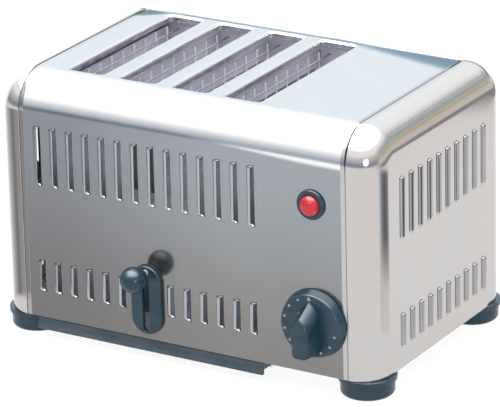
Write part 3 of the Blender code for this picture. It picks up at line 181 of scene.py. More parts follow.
def blend_colours(tree, share, first, second, how="MIX"):
    """Colour between two, by a share."""
    node = add_node(tree, "ShaderNodeMix", {"data_type": "RGBA", "blend_type": how})
    for index, value in ((0, share), (6, first), (7, second)):
        link_value(tree, node.inputs[index], value)
    return node.outputs[2]


def toned(tree, value, span, first, second):
    """Colour that goes from one to another while a value crosses a span."""
    return blend_colours(tree, between(tree, value, *span), first, second)


def mixed(tree, share, first, second):
    """Shader between two, by a share."""
    node = tree.nodes.new("ShaderNodeMixShader")
    tree.links.new(share, node.inputs[0])
    tree.links.new(first.outputs[0], node.inputs[1])
    tree.links.new(second.outputs[0], node.inputs[2])
    return node


def ramp(tree, value, stops):
    """Colour that runs through stops of (place, colour)."""
    node = add_node(tree, "ShaderNodeValToRGB", Fac=value)
    elements = node.color_ramp.elements
    while len(elements) < len(stops):
        elements.new(1.0)
    for element, (place, colour) in zip(elements, stops):
        element.position = place
        element.color = (*colour[:3], 1)
    return node.outputs["Color"]


def attribute(tree, name):
    """Number that the mesh carries."""
    return add_node(tree, "ShaderNodeAttribute", {"attribute_name": name}).outputs["Fac"]


def stand_card(name, centre, radius, height, fade, first, last, shades):
    """Upright curved card between two directions in degrees; its shades fade out at its foot."""
    corners = []
    along = []
    for step in range(CARD_STEPS + 1):
        share = step / CARD_STEPS
        angle = math.radians(first + (last - first) * share)
        for z in (0, height):
            corners.append((radius * math.cos(angle), radius * math.sin(angle), z))
            along.append(share)
    mesh = bpy.data.meshes.new(name)
    starts = range(0, 2 * CARD_STEPS, 2)
    mesh.from_pydata(corners, [], [(start, start + 2, start + 3, start + 1) for start in starts])
    mesh.attributes.new("along", "FLOAT", "POINT").data.foreach_set("value", along)
    material, tree = new_material(name)
    height_here = parts_of(tree, object_place(tree))["Z"]
    shade_here = ramp(tree, attribute(tree, "along"), shades)
    colour = toned(tree, height_here, fade, CARD_FOOT, shade_here)
    surface_out(tree, add_node(tree, "ShaderNodeEmission", Color=colour, Strength=1.0).outputs[0])
    mesh.materials.append(material)
    card = bpy.data.objects.new(name, mesh)
    card.location = (*centre, 0)
    card.visible_camera = False
    card.visible_diffuse = False
    card.visible_shadow = False
    bpy.context.scene.collection.objects.link(card)


floor_mesh = bpy.data.meshes.new("floor")
floor_mesh.from_pydata([(-FLOOR_HALF, -FLOOR_HALF, 0), (FLOOR_HALF, -FLOOR_HALF, 0),
                        (FLOOR_HALF, FLOOR_HALF, 0), (-FLOOR_HALF, FLOOR_HALF, 0)], [], [(0, 1, 2, 3)])
floor_material, tree = new_material("pale_floor")
paper = add_node(tree, "ShaderNodeBsdfDiffuse", Color=FLOOR_COLOUR)
white = add_node(tree, "ShaderNodeEmission", Strength=1.0)
floor_mix = mixed(tree, reckon(tree, "MULTIPLY", seen_directly(tree), FLOOR_WHITE_SHARE), paper, white)
spot = object_place(tree)
away = add_node(tree, "ShaderNodeVectorMath", {"operation": "LENGTH"}, Vector=spot).outputs["Value"]
at_rear = between(tree, parts_of(tree, spot)["Y"], *FLOOR_REAR_SPAN)
beyond_right = ramp(tree, reckon(tree, "DIVIDE", away, FLOOR_FAR), BEYOND_RIGHT)
beyond_rear = toned(tree, parts_of(tree, spot)["X"], FLOOR_RIGHT_SPAN, BEYOND_LEFT, beyond_right)
beyond = add_node(tree, "ShaderNodeEmission", Strength=1.0,
                  Color=blend_colours(tree, at_rear, BEYOND_FRONT, beyond_rear))
past_front = between(tree, away, *FLOOR_END_FRONT)
past_rear = between(tree, away, *FLOOR_END_REAR)
past = varied(tree, at_rear, reckon(tree, "SUBTRACT", past_rear, past_front), past_front)
beyond_share = reckon(tree, "MULTIPLY", ray_is(tree, "Glossy"), past)
surface_out(tree, mixed(tree, beyond_share, floor_mix, beyond).outputs[0])
floor_mesh.materials.append(floor_material)
floor = bpy.data.objects.new("floor", floor_mesh)
bpy.context.scene.collection.objects.link(floor)
stand_card("card_right", *RIGHT_CARD, RIGHT_CARD_SHADES)
stand_card("card_left", *LEFT_CARD, LEFT_CARD_SHADES)


# Studio: a white room whose walls fade to bluish and warm bands near the horizon, as
# the steel shows them, its ceiling brightest overhead, and two soft boxes in front.
ROOM_STRENGTH = 1.5
GLOW_SPAN = (0.60, 1.0)
GLOW_PEAK = 7.5
GLOW_PEAK_MORE = 11.0
FRONT_ROOM = [(0.0, (0.27, 0.32, 0.385)), (0.02, (0.31, 0.35, 0.41)), (0.065, (0.42, 0.44, 0.47)),
              (0.145, (0.49, 0.50, 0.53)), (0.23, (0.60, 0.61, 0.625)), (0.33, (0.76, 0.77, 0.78)),
              (0.42, (0.98, 0.98, 0.98)), (1.0, (0.92, 0.93, 0.94))]
REAR_LEFT_ROOM = [(0.0, (0.60, 0.62, 0.62)), (0.02, (0.19, 0.27, 0.35)), (0.14, (0.21, 0.33, 0.42)),
                  (0.21, (0.48, 0.60, 0.66)), (0.29, (0.84, 0.88, 0.92)), (0.38, (0.84, 0.88, 0.92)),
                  (0.47, (0.99, 1.05, 1.10)), (1.0, (0.95, 1.0, 1.04))]
REAR_RIGHT_ROOM = [(0.0, (0.62, 0.58, 0.56)), (0.04, (0.60, 0.57, 0.54)), (0.08, (0.48, 0.45, 0.30)),
                   (0.15, (0.54, 0.54, 0.33)), (0.22, (0.41, 0.45, 0.48)), (0.30, (0.40, 0.46, 0.48)),
                   (0.36, (0.56, 0.60, 0.62)), (0.39, (0.46, 0.48, 0.51)), (0.43, (0.72, 0.74, 0.76)),
                   (0.52, (0.98, 0.99, 1.00)), (1.0, (1.0, 1.0, 1.0))]
FAR_LEFT_ROOM = (1.35, 1.35, 1.35, 1)
FAR_LEFT_SPAN = (-0.60, -0.54)
RIGHT_SPAN = (0.05, 0.3)
BACK_SPAN = (-0.2, 0.3)
KEY_BOX = ((-0.9, -1.5, 2.1), 0.9, 16)
SIDE_BOX = ((1.3, -1.2, 0.35), 0.35, 5.8)
AIM = Vector((0, 0, 0.1))

room = bpy.data.worlds.new("studio")
bpy.context.scene.world = room
room.use_nodes = True
tree = room.node_tree
tree.nodes.clear()
direction = tree.nodes.new("ShaderNodeTexCoord").outputs["Generated"]
to_right, to_back, height = parts_of(tree, direction)
left_room = toned(tree, to_right, FAR_LEFT_SPAN, FAR_LEFT_ROOM, ramp(tree, height, REAR_LEFT_ROOM))
rear_room = toned(tree, to_right, RIGHT_SPAN, left_room, ramp(tree, height, REAR_RIGHT_ROOM))
whole_room = toned(tree, to_back, BACK_SPAN, ramp(tree, height, FRONT_ROOM), rear_room)
glow_peak = varied(tree, ray_is(tree, "Glossy"), GLOW_PEAK_MORE, GLOW_PEAK)
glow = between(tree, height, *GLOW_SPAN, ROOM_STRENGTH, glow_peak)
walls = add_node(tree, "ShaderNodeBackground", Color=whole_room, Strength=glow)
backdrop = add_node(tree, "ShaderNodeBackground", Color=(1, 1, 1, 1), Strength=1.0)
world_mix = mixed(tree, ray_is(tree, "Camera"), walls, backdrop)
add_node(tree, "ShaderNodeOutputWorld", Surface=world_mix.outputs[0])


def soft_box(name, place, width, power):
    """Square lamp that faces the toaster's middle."""
    lamp = bpy.data.lights.new(name, "AREA")
    lamp.size = width
    lamp.energy = power
    node = bpy.data.objects.new(name, lamp)
    look = AIM - Vector(place)
    node.matrix_world = Matrix.Translation(place) @ look.to_track_quat("-Z", "Y").to_matrix().to_4x4()
    bpy.context.scene.collection.objects.link(node)


soft_box("key_box", *KEY_BOX)
soft_box("side_box", *SIDE_BOX)


# Wrap: one sheet of 0.8 mm stainless steel bent over two rolls, its end edges turned
# down at the seams and its bread slots rimmed. Front and back stay satin, rolls and top
# are buffed. The louvres are lanced and pressed out in one stroke per row. Its colour
# also carries painted shade and light: panels darker low down and to the left, rolls and
# top lighter still, a painted highlight strip and a painted shadow line at each seam, and
# painted light and shade on the louvre hoods.
wrap_low, wrap_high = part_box("wrap_cover")
MIDDLE_Y = (wrap_low.y + wrap_high.y) / 2
HALF_DEPTH = 0.1165
TOP = 0.235
BASE = 0.018
ROLL = 0.032
ROLL_STEPS = 24
SHEET = 0.0008
SEAM_EDGE = [(0.1542, 0), (0.1555, 0.0001), (0.157, 0.0003), (0.1587, 0.0006)]
SLOT_XS = [-0.1118, -0.0606, -0.0094, 0.0418]
SLOT_HALF = (0.017, 0.0815)
SLOT_CORNER = 0.004
SLOT_ROLL = 0.0021
SLOT_RIM_DEPTH = 0.006
LEVER_X = -0.035
LEVER_OPENING = (0.0126, 0.0596, 0.0545)
LAMP_PLACE = (0.1265, 0.168)
LAMP_HOLE = 0.0101
TIMER_PLACE = (0.128, 0.064)
TIMER_HOLE = 0.005
GLAND_PLACE = (0.125, 0.045)
GLAND_HOLE = 0.0073
FRONT_LOUVRES = [(-0.14023, 14, 0.1657, 0.0538), (-0.14023, 6, 0.0566, 0.0292), (-0.01072, 6, 0.0566, 0.0292)]
REAR_LOUVRES = FRONT_LOUVRES[:1]
FRONT_PITCH = 0.016189
SIDE_HOOD_SPAN = (-0.003, 0.0011)
FRONT_HOOD_SPAN = (-0.0048, -0.0007)
LOUVRE_LANCE = 0.0022
LOUVRE_RISE = 0.0021
LOUVRE_SLANT = 0.0004
LOUVRE_TOP_END = 0.0016
LOUVRE_LOW_END = 0.0034
LOUVRE_TOP_CLOSE = (2, 1)
LOUVRE_LOW_CLOSE = (7, 0.4)
LOUVRE_HALF_CELL = 0.0054
LOUVRE_MARGIN = 0.0024
LOUVRE_STEPS = 6
END_STEPS = 5
RIM_STEPS = 5
WELD = 0.00001
ROUND_STEPS = 48
FINE_STEPS = 56
CREASE = 35
FIT = 0.0000001
WHITE = (1, 1, 1, 1)
# Painted shade on the satin front and back: darker low down and towards the left, lighter and bluer high up.
SATIN_SHADE_LOW = (0.221, 0.217, 0.212, 1)
SATIN_SHADE_HIGH = (0.292, 0.312, 0.334, 1)
SATIN_SHADE_SPAN = (0.03, 0.20)
SATIN_LEFT_SHADE = (0.74, 0.73, 0.75, 1)
SATIN_LEFT_SHADE_SPAN = (-0.15, 0.06)
SATIN_HAZE = 0.07
SATIN_END = (0.2040, 0.2105)
# The rolls and top are buffed; their colours are also set lighter than the steel itself as painted light, for
# the bright room they reflect.
BUFFED_AND_LIT_ROLL = (0.80, 0.80, 0.80, 1)
BUFFED_FROM = (0.2040, 0.2080)
BUFFED_LEAN = (-0.02, 0.15, -0.0025, 0.0035)
BUFFED_AND_LIT_TOP = (0.575, 0.59, 0.60, 1)
TOP_FROM = (0.2335, 0.2348)
# Painted light and shade on the louvre hoods: lighter flanks, a painted highlight at each lower end and
# painted shade at each top end.
HOOD_PAINTED_TONES = {"hood": (0.38, 0.385, 0.40, 1), "hood_foot": (0.50, 0.495, 0.49, 1),
           "hood_head": (0.13, 0.13, 0.135, 1)}
# Painted highlight: a lighter strip on the wrap's turned-down edge next to each seam.
SEAM_RIGHT_HIGHLIGHT = (0.45, 0.455, 0.47, 1)
SEAM_RIGHT_HIGHLIGHT_SPAN = (0.1538, 0.1546)
SEAM_LEFT_HIGHLIGHT = (0.35, 0.35, 0.36, 1)
SEAM_LEFT_HIGHLIGHT_SPAN = (-0.1538, -0.1546)
# Painted shadow: a dark line in the gap at each seam, darkest along the rolls.
SEAM_SHADOW = (0.12, 0.12, 0.14, 1)
SEAM_ROLL_SHADOW = (0.02, 0.02, 0.024, 1)
SEAM_ROLL_SHADOW_SPAN = (0.203, 0.213)
SEAM_TOP_SHADOW = (0.19, 0.19, 0.21, 1)
SEAM_TOP_SHADOW_SPAN = (0.2325, 0.2345)
SEAM_SHADOW_SPAN = (0.1577, 0.1585)
SEAM_LEAN = (0.190, 0.2345, 0.0, 0.0016)
LINE_STRETCH = (14, 2600, 1)
LINE_SHADE = (0.75, 0.75, 0.75, 1)
LINE_SHARE = 0.10
LINE_GLOSS = (0.05, 0.095)
LINE_DEPTH = 0.000004
CLOUD_STRETCH = 16
CLOUD_SPAN = (0.3, 0.7)
CLOUD_SHADE = (0.6, 0.6, 0.62, 1)
CLOUD_SHARE = 0.06
SMUDGE_STRETCH = 9
SMUDGE_SPAN = (0.42, 0.72)
SMUDGE_GLOSS = 0.035
TOP_END = 0.0845
DIP_RISE = 0.24
DIP_START = 0.030
DIP_LEFT = (-0.120, -0.160, 0.0, 0.022)
DIP_SLOPE = 0.185
DIP_SOFT = 0.013


def in_place(y):
    """Depth in the frame of a depth measured from the body's middle."""
    return y + MIDDLE_Y


def quarter_turn(steps):
    """Angles over a quarter turn."""
    return [math.pi / 2 * step / steps for step in range(steps + 1)]


def section_line(inset):
    """Points (depth, height) up the front, over both rolls and down the back, drawn in by inset."""
    across = HALF_DEPTH - ROLL
    points = [(inset - HALF_DEPTH, BASE)]
    for side, first in ((-1, math.pi), (1, math.pi / 2)):
        for back_by in quarter_turn(ROLL_STEPS):
            angle = first - back_by
            points.append((side * across + (ROLL - inset) * math.cos(angle),
                           TOP - ROLL + (ROLL - inset) * math.sin(angle)))
    points.append((HALF_DEPTH - inset, BASE))
    return points


def is_inside(loop, x, y):
    """Whether a point lies within a closed loop."""
    inside = False
    for (x1, y1), (x2, y2) in zip(loop, loop[1:] + loop[:1]):
        if (y1 > y) != (y2 > y) and x < x1 + (y - y1) / (y2 - y1) * (x2 - x1):
            inside = not inside
    return inside


def cut_sheet(bm, outline, holes, place):
    """Flat sheet with holes in it, each a loop of points; place puts a point on the piece."""
    points = []
    edges = []
    for loop in (outline, *holes):
        start = len(points)
        points += [Vector(point) for point in loop]
        edges += [(start + index, start + (index + 1) % len(loop)) for index in range(len(loop))]
    corners, _, triangles, *_ = delaunay_2d_cdt(points, edges, [], 1, FIT)
    verts = [bm.verts.new(place(x, y)) for x, y in corners]
    for triangle in triangles:
        x, y = sum((corners[index] for index in triangle), Vector((0, 0))) / 3
        if is_inside(outline, x, y) and not any(is_inside(hole, x, y) for hole in holes):
            bm.faces.new([verts[index] for index in triangle])
    loose = [vert for vert in verts if not vert.link_faces]
    bmesh.ops.delete(bm, geom=loose, context="VERTS")


def loft(bm, rings, closed=True):
    """Skin over rings of points that have the same count."""
    rows = [[bm.verts.new(point) for point in ring] for ring in rings]
    for row, following in zip(rows, rows[1:]):
        count = len(row)
        for index in range(count if closed else count - 1):
            onward = (index + 1) % count
            bm.faces.new((row[index], row[onward], following[onward], following[index]))
    return rows


def capped_loft(bm, rings):
    """Skin over rings, closed at both ends."""
    rows = loft(bm, rings)
    bm.faces.new(rows[0])
    bm.faces.new(rows[-1])


def rounded_box(centre, half_x, half_y, corner, steps=6):
    """Loop of a rectangle with round corners."""
    points = []
    for quarter, (side_x, side_y) in enumerate(((1, 1), (-1, 1), (-1, -1), (1, -1))):
        for step in range(steps + 1):
            angle = math.pi / 2 * (quarter + step / steps)
            points.append((centre[0] + side_x * (half_x - corner) + corner * math.cos(angle),
                           centre[1] + side_y * (half_y - corner) + corner * math.sin(angle)))
    return points


def ring_of(centre, radius, steps=40):
    """Loop of a circle."""
    return [(centre[0] + radius * math.cos(math.tau * step / steps),
             centre[1] + radius * math.sin(math.tau * step / steps)) for step in range(steps)]


def stadium(width, height, centre, steps=14):
    """Loop of an upright slot with round ends."""
    straight = (height - width) / 2
    points = []
    for end in (1, -1):
        for step in range(steps + 1):
            angle = math.pi * step / steps
            points.append((centre[0] + end * width / 2 * math.cos(angle),
                           centre[1] + end * (straight + width / 2 * math.sin(angle))))
    return points


def louvre_cells(rows, pitch):
    """Rectangular windows in the sheet that the louvre blanks fill."""
    cells = []
    for start, count, height, length in rows:
        for index in range(count):
            x = start + index * pitch
            low = height - length / 2 - LOUVRE_MARGIN
            high = height + length / 2 + LOUVRE_MARGIN
            cells.append([(x - LOUVRE_HALF_CELL, low), (x + LOUVRE_HALF_CELL, low),
                          (x + LOUVRE_HALF_CELL, high), (x - LOUVRE_HALF_CELL, high)])
    return cells


def link_mesh(name, bm):
    """Object of a bmesh, which is used up."""
    mesh = bpy.data.meshes.new(name)
    bm.to_mesh(mesh)
    bm.free()
    made = bpy.data.objects.new(name, mesh)
    bpy.context.scene.collection.objects.link(made)
    return made


def louvre_blank(length, span, top=1):
    """One louvre in its window of flat sheet: open mouth, steep top end and long lower end.

    span is where its hood starts and ends; top is -1 for a blank that its row turns over."""
    half = length / 2
    stations = []
    for end, run, close in ((top, LOUVRE_TOP_END, LOUVRE_TOP_CLOSE),
                            (-top, LOUVRE_LOW_END, LOUVRE_LOW_CLOSE)):
        for angle in quarter_turn(END_STEPS)[:-1]:
            share = math.cos(angle)
            up = end * (half - run + run * math.sin(angle))
            stations.append((up, share, share ** close[0], share ** close[1]))
    stations.sort()
    bm = bmesh.new()
    hood = bm.faces.layers.float.new("hood")
    foot = bm.faces.layers.float.new("hood_foot")
    head = bm.faces.layers.float.new("hood_head")
    rows = []
    for up, share, mouth, width in stations:
        open_lip = span[1] + LOUVRE_SLANT * top * up / half
        back_foot = LOUVRE_LANCE - (LOUVRE_LANCE - span[0]) * width
        lip = LOUVRE_LANCE - (LOUVRE_LANCE - open_lip) * mouth
        rows.append([(lip - (lip - back_foot) * math.cos(angle), up, LOUVRE_RISE * share * math.sin(angle))
                     for angle in quarter_turn(LOUVRE_STEPS)])
    skins = loft(bm, rows, closed=False)
    for end, skin in ((-half, skins[0]), (half, skins[-1])):
        tip = bm.verts.new((LOUVRE_LANCE, end, 0))
        for first, second in zip(skin, skin[1:]):
            bm.faces.new((tip, first, second))
    for face in bm.faces:
        face[hood] = 1
        face[foot] = float(top * face.calc_center_median().y < LOUVRE_LOW_END - half)
        face[head] = float(top * face.calc_center_median().y > half - LOUVRE_TOP_END)
    window = [(LOUVRE_LANCE, -half)] + [row[0][:2] for row in rows] + [(LOUVRE_LANCE, half)]
    cell = louvre_cells([(0, 1, 0, length)], 0)[0]
    cut_sheet(bm, cell, [window], lambda x, y: (x, y, 0))
    bmesh.ops.remove_doubles(bm, verts=bm.verts, dist=WELD)
    return link_mesh("louvre_blank", bm)


def new_tree(name, *sockets):
    """Empty geometry tree, its inputs, and points from Start on that are Pitch apart."""
    tree = bpy.data.node_groups.new(name, "GeometryNodeTree")
    shared = (("Geometry", "Geometry"), ("Count", "Int"), ("Start", "Vector"), ("Pitch", "Vector"),
              ("Weld", "Float"), ("Finish", "Material"))
    for label, kind in (*shared, *sockets):
        tree.interface.new_socket(label, in_out="INPUT", socket_type="NodeSocket" + kind)
    tree.interface.new_socket("Geometry", in_out="OUTPUT", socket_type="NodeSocketGeometry")
    given = tree.nodes.new("NodeGroupInput").outputs
    line = add_node(tree, "GeometryNodeMeshLine", {"mode": "OFFSET"}, Count=given["Count"],
                    Start_Location=given["Start"], Offset=given["Pitch"])
    return tree, given, line.outputs[0]


def set_out(tree, given, points, instance, euler):
    """Instances on points, made real, joined to the piece, welded and given its finish."""
    turn = add_node(tree, "FunctionNodeEulerToRotation", Euler=euler)
    row = add_node(tree, "GeometryNodeInstanceOnPoints", Points=points, Instance=instance,
                   Rotation=turn.outputs[0])
    loose = add_node(tree, "GeometryNodeRealizeInstances", Geometry=row.outputs[0])
    joined = tree.nodes.new("GeometryNodeJoinGeometry")
    tree.links.new(given["Geometry"], joined.inputs[0])
    tree.links.new(loose.outputs[0], joined.inputs[0])
    welded = add_node(tree, "GeometryNodeMergeByDistance", Geometry=joined.outputs[0], Distance=given["Weld"])
    real = add_node(tree, "GeometryNodeRealizeInstances", Geometry=welded.outputs[0])
    dressed = add_node(tree, "GeometryNodeSetMaterial", Geometry=real.outputs[0], Material=given["Finish"])
    add_node(tree, "NodeGroupOutput", Geometry=dressed.outputs[0])
    return tree


def row_tree():
    """Geometry nodes that set a row of turned blanks on a piece and weld them in."""
    tree, given, points = new_tree("blank_row", ("Blank", "Object"), ("Turn", "Vector"))
    blank = add_node(tree, "GeometryNodeObjectInfo", Object=given["Blank"])
    return set_out(tree, given, points, blank.outputs["Geometry"], given["Turn"])


def run_tree(made, tree, finish, weld=WELD, **values):
    """Modifier that runs a tree on a piece, its inputs found by name and set by identifier."""
    values.update(Finish=finish, Weld=weld)
    modifier = made.modifiers.new(tree.name, "NODES")
    modifier.node_group = tree
    for item in tree.interface.items_tree:
        if item.in_out == "INPUT" and item.name in values:
            modifier[item.identifier] = values[item.name]


def baked(made):
    """The piece with its modifiers made part of a plain mesh."""
    graph = bpy.context.evaluated_depsgraph_get()
    graph.update()
    mesh = bpy.data.meshes.new_from_object(made.evaluated_get(graph))
    made.modifiers.clear()
    made.data = mesh
    return made


def face_outwards(made):
    """Weld and turn every face outwards."""
    bm = bmesh.new()
    bm.from_mesh(made.data)
    bmesh.ops.remove_doubles(bm, verts=bm.verts, dist=WELD)
    bmesh.ops.recalc_face_normals(bm, faces=bm.faces)
    bm.to_mesh(made.data)
    bm.free()


def shade(made, angle=CREASE):
    """Smooth shading between edges sharper than an angle, flats kept flat."""
    made.data.shade_smooth()
    made.data.set_sharp_from_angle(angle=math.radians(angle))
    normals = made.modifiers.new("even_shading", "WEIGHTED_NORMAL")
    normals.keep_sharp = True


def thicken(made, thickness):
    """Sheet of a thickness that grows inwards from its outer skin."""
    modifier = made.modifiers.new("sheet", "SOLIDIFY")
    modifier.thickness = thickness
    modifier.offset = -1


def add_piece(made, body, slot, *replaced):
    """Tie a finished piece to its body and hide the solids that it stands for; slot is not used."""
    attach(made, body)
    if replaced:
        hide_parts(*replaced)


def complete(made, body, slot, *replaced, finish=None, angle=CREASE):
    """Give a piece its finish, turn its faces outwards, shade it and tie it."""
    if finish:
        made.data.materials.append(finish)
    face_outwards(made)
    shade(made, angle)
    add_piece(made, body, slot, *replaced)


def clear_away(blanks):
    """Remove blanks once their rows are part of a piece."""
    for blank in blanks:
        bpy.data.objects.remove(blank)


def complete_shell(made, slot, node, blanks):
    """Make a skin and its louvres one sheet of the housing, and clear its blanks away."""
    baked(made)
    face_outwards(made)
    thicken(made, SHEET)
    baked(made)
    shade(made)
    add_piece(made, "housing", slot, node)
    clear_away(blanks)


def noise(tree, place, stretch, detail=2.0, roughness=0.5):
    """Noise over a place that is stretched alike or by an amount for each direction."""
    scale = stretch if isinstance(stretch, tuple) else (stretch, stretch, stretch)
    mapped = add_node(tree, "ShaderNodeMapping", Vector=place, Scale=scale)
    texture = add_node(tree, "ShaderNodeTexNoise", Vector=mapped.outputs[0], Scale=1.0, Detail=detail,
                       Roughness=roughness)
    return texture.outputs[0]


def smudges(tree, place):
    """Soft irregular patches, as wiped fingerprints leave on bright metal."""
    return between(tree, noise(tree, place, SMUDGE_STRETCH, detail=4.0, roughness=0.6), *SMUDGE_SPAN)


def bump_of(tree, height, distance, strength=1.0):
    """Normal of a fine relief."""
    node = add_node(tree, "ShaderNodeBump", Height=height, Distance=distance, Strength=strength)
    return node.outputs[0]


def surfaced(material, tree, **inputs):
    """The material with its surface made from these inputs."""
    surface_out(tree, add_node(tree, "ShaderNodeBsdfPrincipled", **inputs).outputs[0])
    return material


def wrap_finish():
    """Stainless sheet: satin front and back with fine lines across, buffed rolls and top, with painted shade
    low and to the left, painted light on rolls and top, and painted highlights and shadows at the seams and
    on the louvre hoods.
    """
    material, tree = new_material("satin_steel_sheet")
    place = object_place(tree)
    x, y, z = parts_of(tree, place)
    line_place = add_node(tree, "ShaderNodeCombineXYZ", X=x, Y=reckon(tree, "SUBTRACT", y, z)).outputs[0]
    lines = noise(tree, line_place, LINE_STRETCH, detail=3.0, roughness=0.65)
    clouds = between(tree, noise(tree, place, CLOUD_STRETCH, detail=3.0), *CLOUD_SPAN)
    # painted shade: the satin panels darken low down and towards the left
    left_shade = toned(tree, x, SATIN_LEFT_SHADE_SPAN, SATIN_LEFT_SHADE, WHITE)
    satin = toned(tree, z, SATIN_SHADE_SPAN, SATIN_SHADE_LOW, SATIN_SHADE_HIGH)
    colour = blend_colours(tree, 1.0, satin, left_shade, "MULTIPLY")
    # buffed rolls and top, partly painted light
    buffed_from = reckon(tree, "ADD", z, between(tree, x, *BUFFED_LEAN))
    # painted shadow in each seam's gap: dark on the panels, darker along the rolls, lighter on the top
    seam_place = reckon(tree, "ADD", x, between(tree, z, *SEAM_LEAN))
    seam_shadow = toned(tree, z, SEAM_ROLL_SHADOW_SPAN, SEAM_SHADOW, SEAM_ROLL_SHADOW)
    seam_shadow = toned(tree, z, SEAM_TOP_SHADOW_SPAN, seam_shadow, SEAM_TOP_SHADOW)
    # this loop lays on the buffed rolls and top (partly painted light), the painted highlight strips beside
    # the seams and the painted seam shadow
    for value, span, other in ((buffed_from, BUFFED_FROM, BUFFED_AND_LIT_ROLL), (z, TOP_FROM, BUFFED_AND_LIT_TOP),
                               (x, SEAM_RIGHT_HIGHLIGHT_SPAN, SEAM_RIGHT_HIGHLIGHT), (x, SEAM_LEFT_HIGHLIGHT_SPAN, SEAM_LEFT_HIGHLIGHT),
                               (seam_place, SEAM_SHADOW_SPAN, seam_shadow)):
        colour = toned(tree, value, span, colour, other)
    # painted light and shade on the louvre hoods
    for name, other in HOOD_PAINTED_TONES.items():
        colour = blend_colours(tree, attribute(tree, name), colour, other)
    for pattern, share, other in ((clouds, CLOUD_SHARE, CLOUD_SHADE), (lines, LINE_SHARE, LINE_SHADE)):
        colour = blend_colours(tree, reckon(tree, "MULTIPLY", pattern, share), colour, other, "MULTIPLY")
    rough = varied(tree, smudges(tree, place), SMUDGE_GLOSS, varied(tree, lines, *LINE_GLOSS))
    right_dip = reckon(tree, "MAXIMUM", varied(tree, x, DIP_RISE, -DIP_RISE * DIP_START), 0.0)
    start = reckon(tree, "ADD", reckon(tree, "ADD", right_dip, between(tree, x, *DIP_LEFT)), y)
    past_start = reckon(tree, "MAXIMUM", reckon(tree, "SUBTRACT", start, in_place(TOP_END)), 0.0)
    from_dip = reckon(tree, "MULTIPLY", past_start, between(tree, z, *TOP_FROM))
    bend = reckon(tree, "SQRT", varied(tree, from_dip, from_dip, DIP_SOFT ** 2))
    dip = reckon(tree, "MULTIPLY", reckon(tree, "SUBTRACT", bend, DIP_SOFT), -DIP_SLOPE)
    bent = add_node(tree, "ShaderNodeBump", Height=dip, Distance=1.0, Normal=bump_of(tree, lines, LINE_DEPTH))
    metal = between(tree, z, *SATIN_END, 1.0 - SATIN_HAZE, 1.0)
    return surfaced(material, tree, Base_Color=colour, Metallic=metal, Roughness=rough,
                    Normal=bent.outputs[0])


steel_sheet = wrap_finish()
stations = [(-x, drop) for x, drop in reversed(SEAM_EDGE)] + SEAM_EDGE
lines = [[(x, in_place(y), z) for y, z in section_line(drop)] for x, drop in stations]
middle = len(SEAM_EDGE) - 1
flats = {0, ROLL_STEPS + 1, 2 * ROLL_STEPS + 2}
sheet = bmesh.new()
for number, (line, following) in enumerate(zip(lines, lines[1:])):
    for index in range(len(line) - 1):
        if number == middle and index in flats:
            continue
        corners = (line[index], following[index], following[index + 1], line[index + 1])
        sheet.faces.new([sheet.verts.new(corner) for corner in corners])
half_flat = SEAM_EDGE[0][0]
roll_start = TOP - ROLL
panel = [(-half_flat, BASE), (half_flat, BASE), (half_flat, roll_start), (-half_flat, roll_start)]
lever_opening = stadium(LEVER_OPENING[0], LEVER_OPENING[1], (LEVER_X, LEVER_OPENING[2]))
front_holes = louvre_cells(FRONT_LOUVRES, FRONT_PITCH) + [
    lever_opening, ring_of(LAMP_PLACE, LAMP_HOLE), ring_of(TIMER_PLACE, TIMER_HOLE)]
rear_holes = louvre_cells(REAR_LOUVRES, FRONT_PITCH) + [ring_of(GLAND_PLACE, GLAND_HOLE)]
cut_sheet(sheet, panel, front_holes, lambda x, z: (x, in_place(-HALF_DEPTH), z))
cut_sheet(sheet, panel, rear_holes, lambda x, z: (x, in_place(HALF_DEPTH), z))
top_end = HALF_DEPTH - ROLL
top_panel = [(-half_flat, -top_end), (half_flat, -top_end), (half_flat, top_end), (-half_flat, top_end)]
slot_holes = []
for x in SLOT_XS:
    slot_holes.append(rounded_box((x, 0), SLOT_HALF[0] + SLOT_ROLL, SLOT_HALF[1] + SLOT_ROLL,
                                  SLOT_CORNER + SLOT_ROLL))
    rim = [(SLOT_ROLL * (1 - math.sin(angle)), TOP - SLOT_ROLL * (1 - math.cos(angle)))
           for angle in quarter_turn(RIM_STEPS)]
    rim.append((0, TOP - SLOT_RIM_DEPTH))
    rings = []
    for out, z in rim:
        loop = rounded_box((x, 0), SLOT_HALF[0] + out, SLOT_HALF[1] + out, SLOT_CORNER + out)
        rings.append([(a, in_place(b), z) for a, b in loop])
    loft(sheet, rings)
cut_sheet(sheet, top_panel, slot_holes, lambda x, y: (x, in_place(y), TOP))
bmesh.ops.remove_doubles(sheet, verts=sheet.verts, dist=WELD)
wrap = link_mesh("wrap_panel", sheet)
blank_row = row_tree()
UPRIGHT = math.pi / 2
blanks = []
for rows, turn, side in ((FRONT_LOUVRES, (UPRIGHT, 0, 0), -1), (REAR_LOUVRES, (UPRIGHT, 0, math.pi), 1)):
    for start, count, height, length in rows:
        blanks.append(louvre_blank(length, FRONT_HOOD_SPAN))
        first_x = start + (count - 1) * FRONT_PITCH if side > 0 else start
        run_tree(wrap, blank_row, steel_sheet, Blank=blanks[-1], Count=count, Turn=turn,
                 Start=(first_x, in_place(side * HALF_DEPTH), height), Pitch=(-side * FRONT_PITCH, 0, 0))
complete_shell(wrap, "satin_steel", "wrap_cover", blanks)


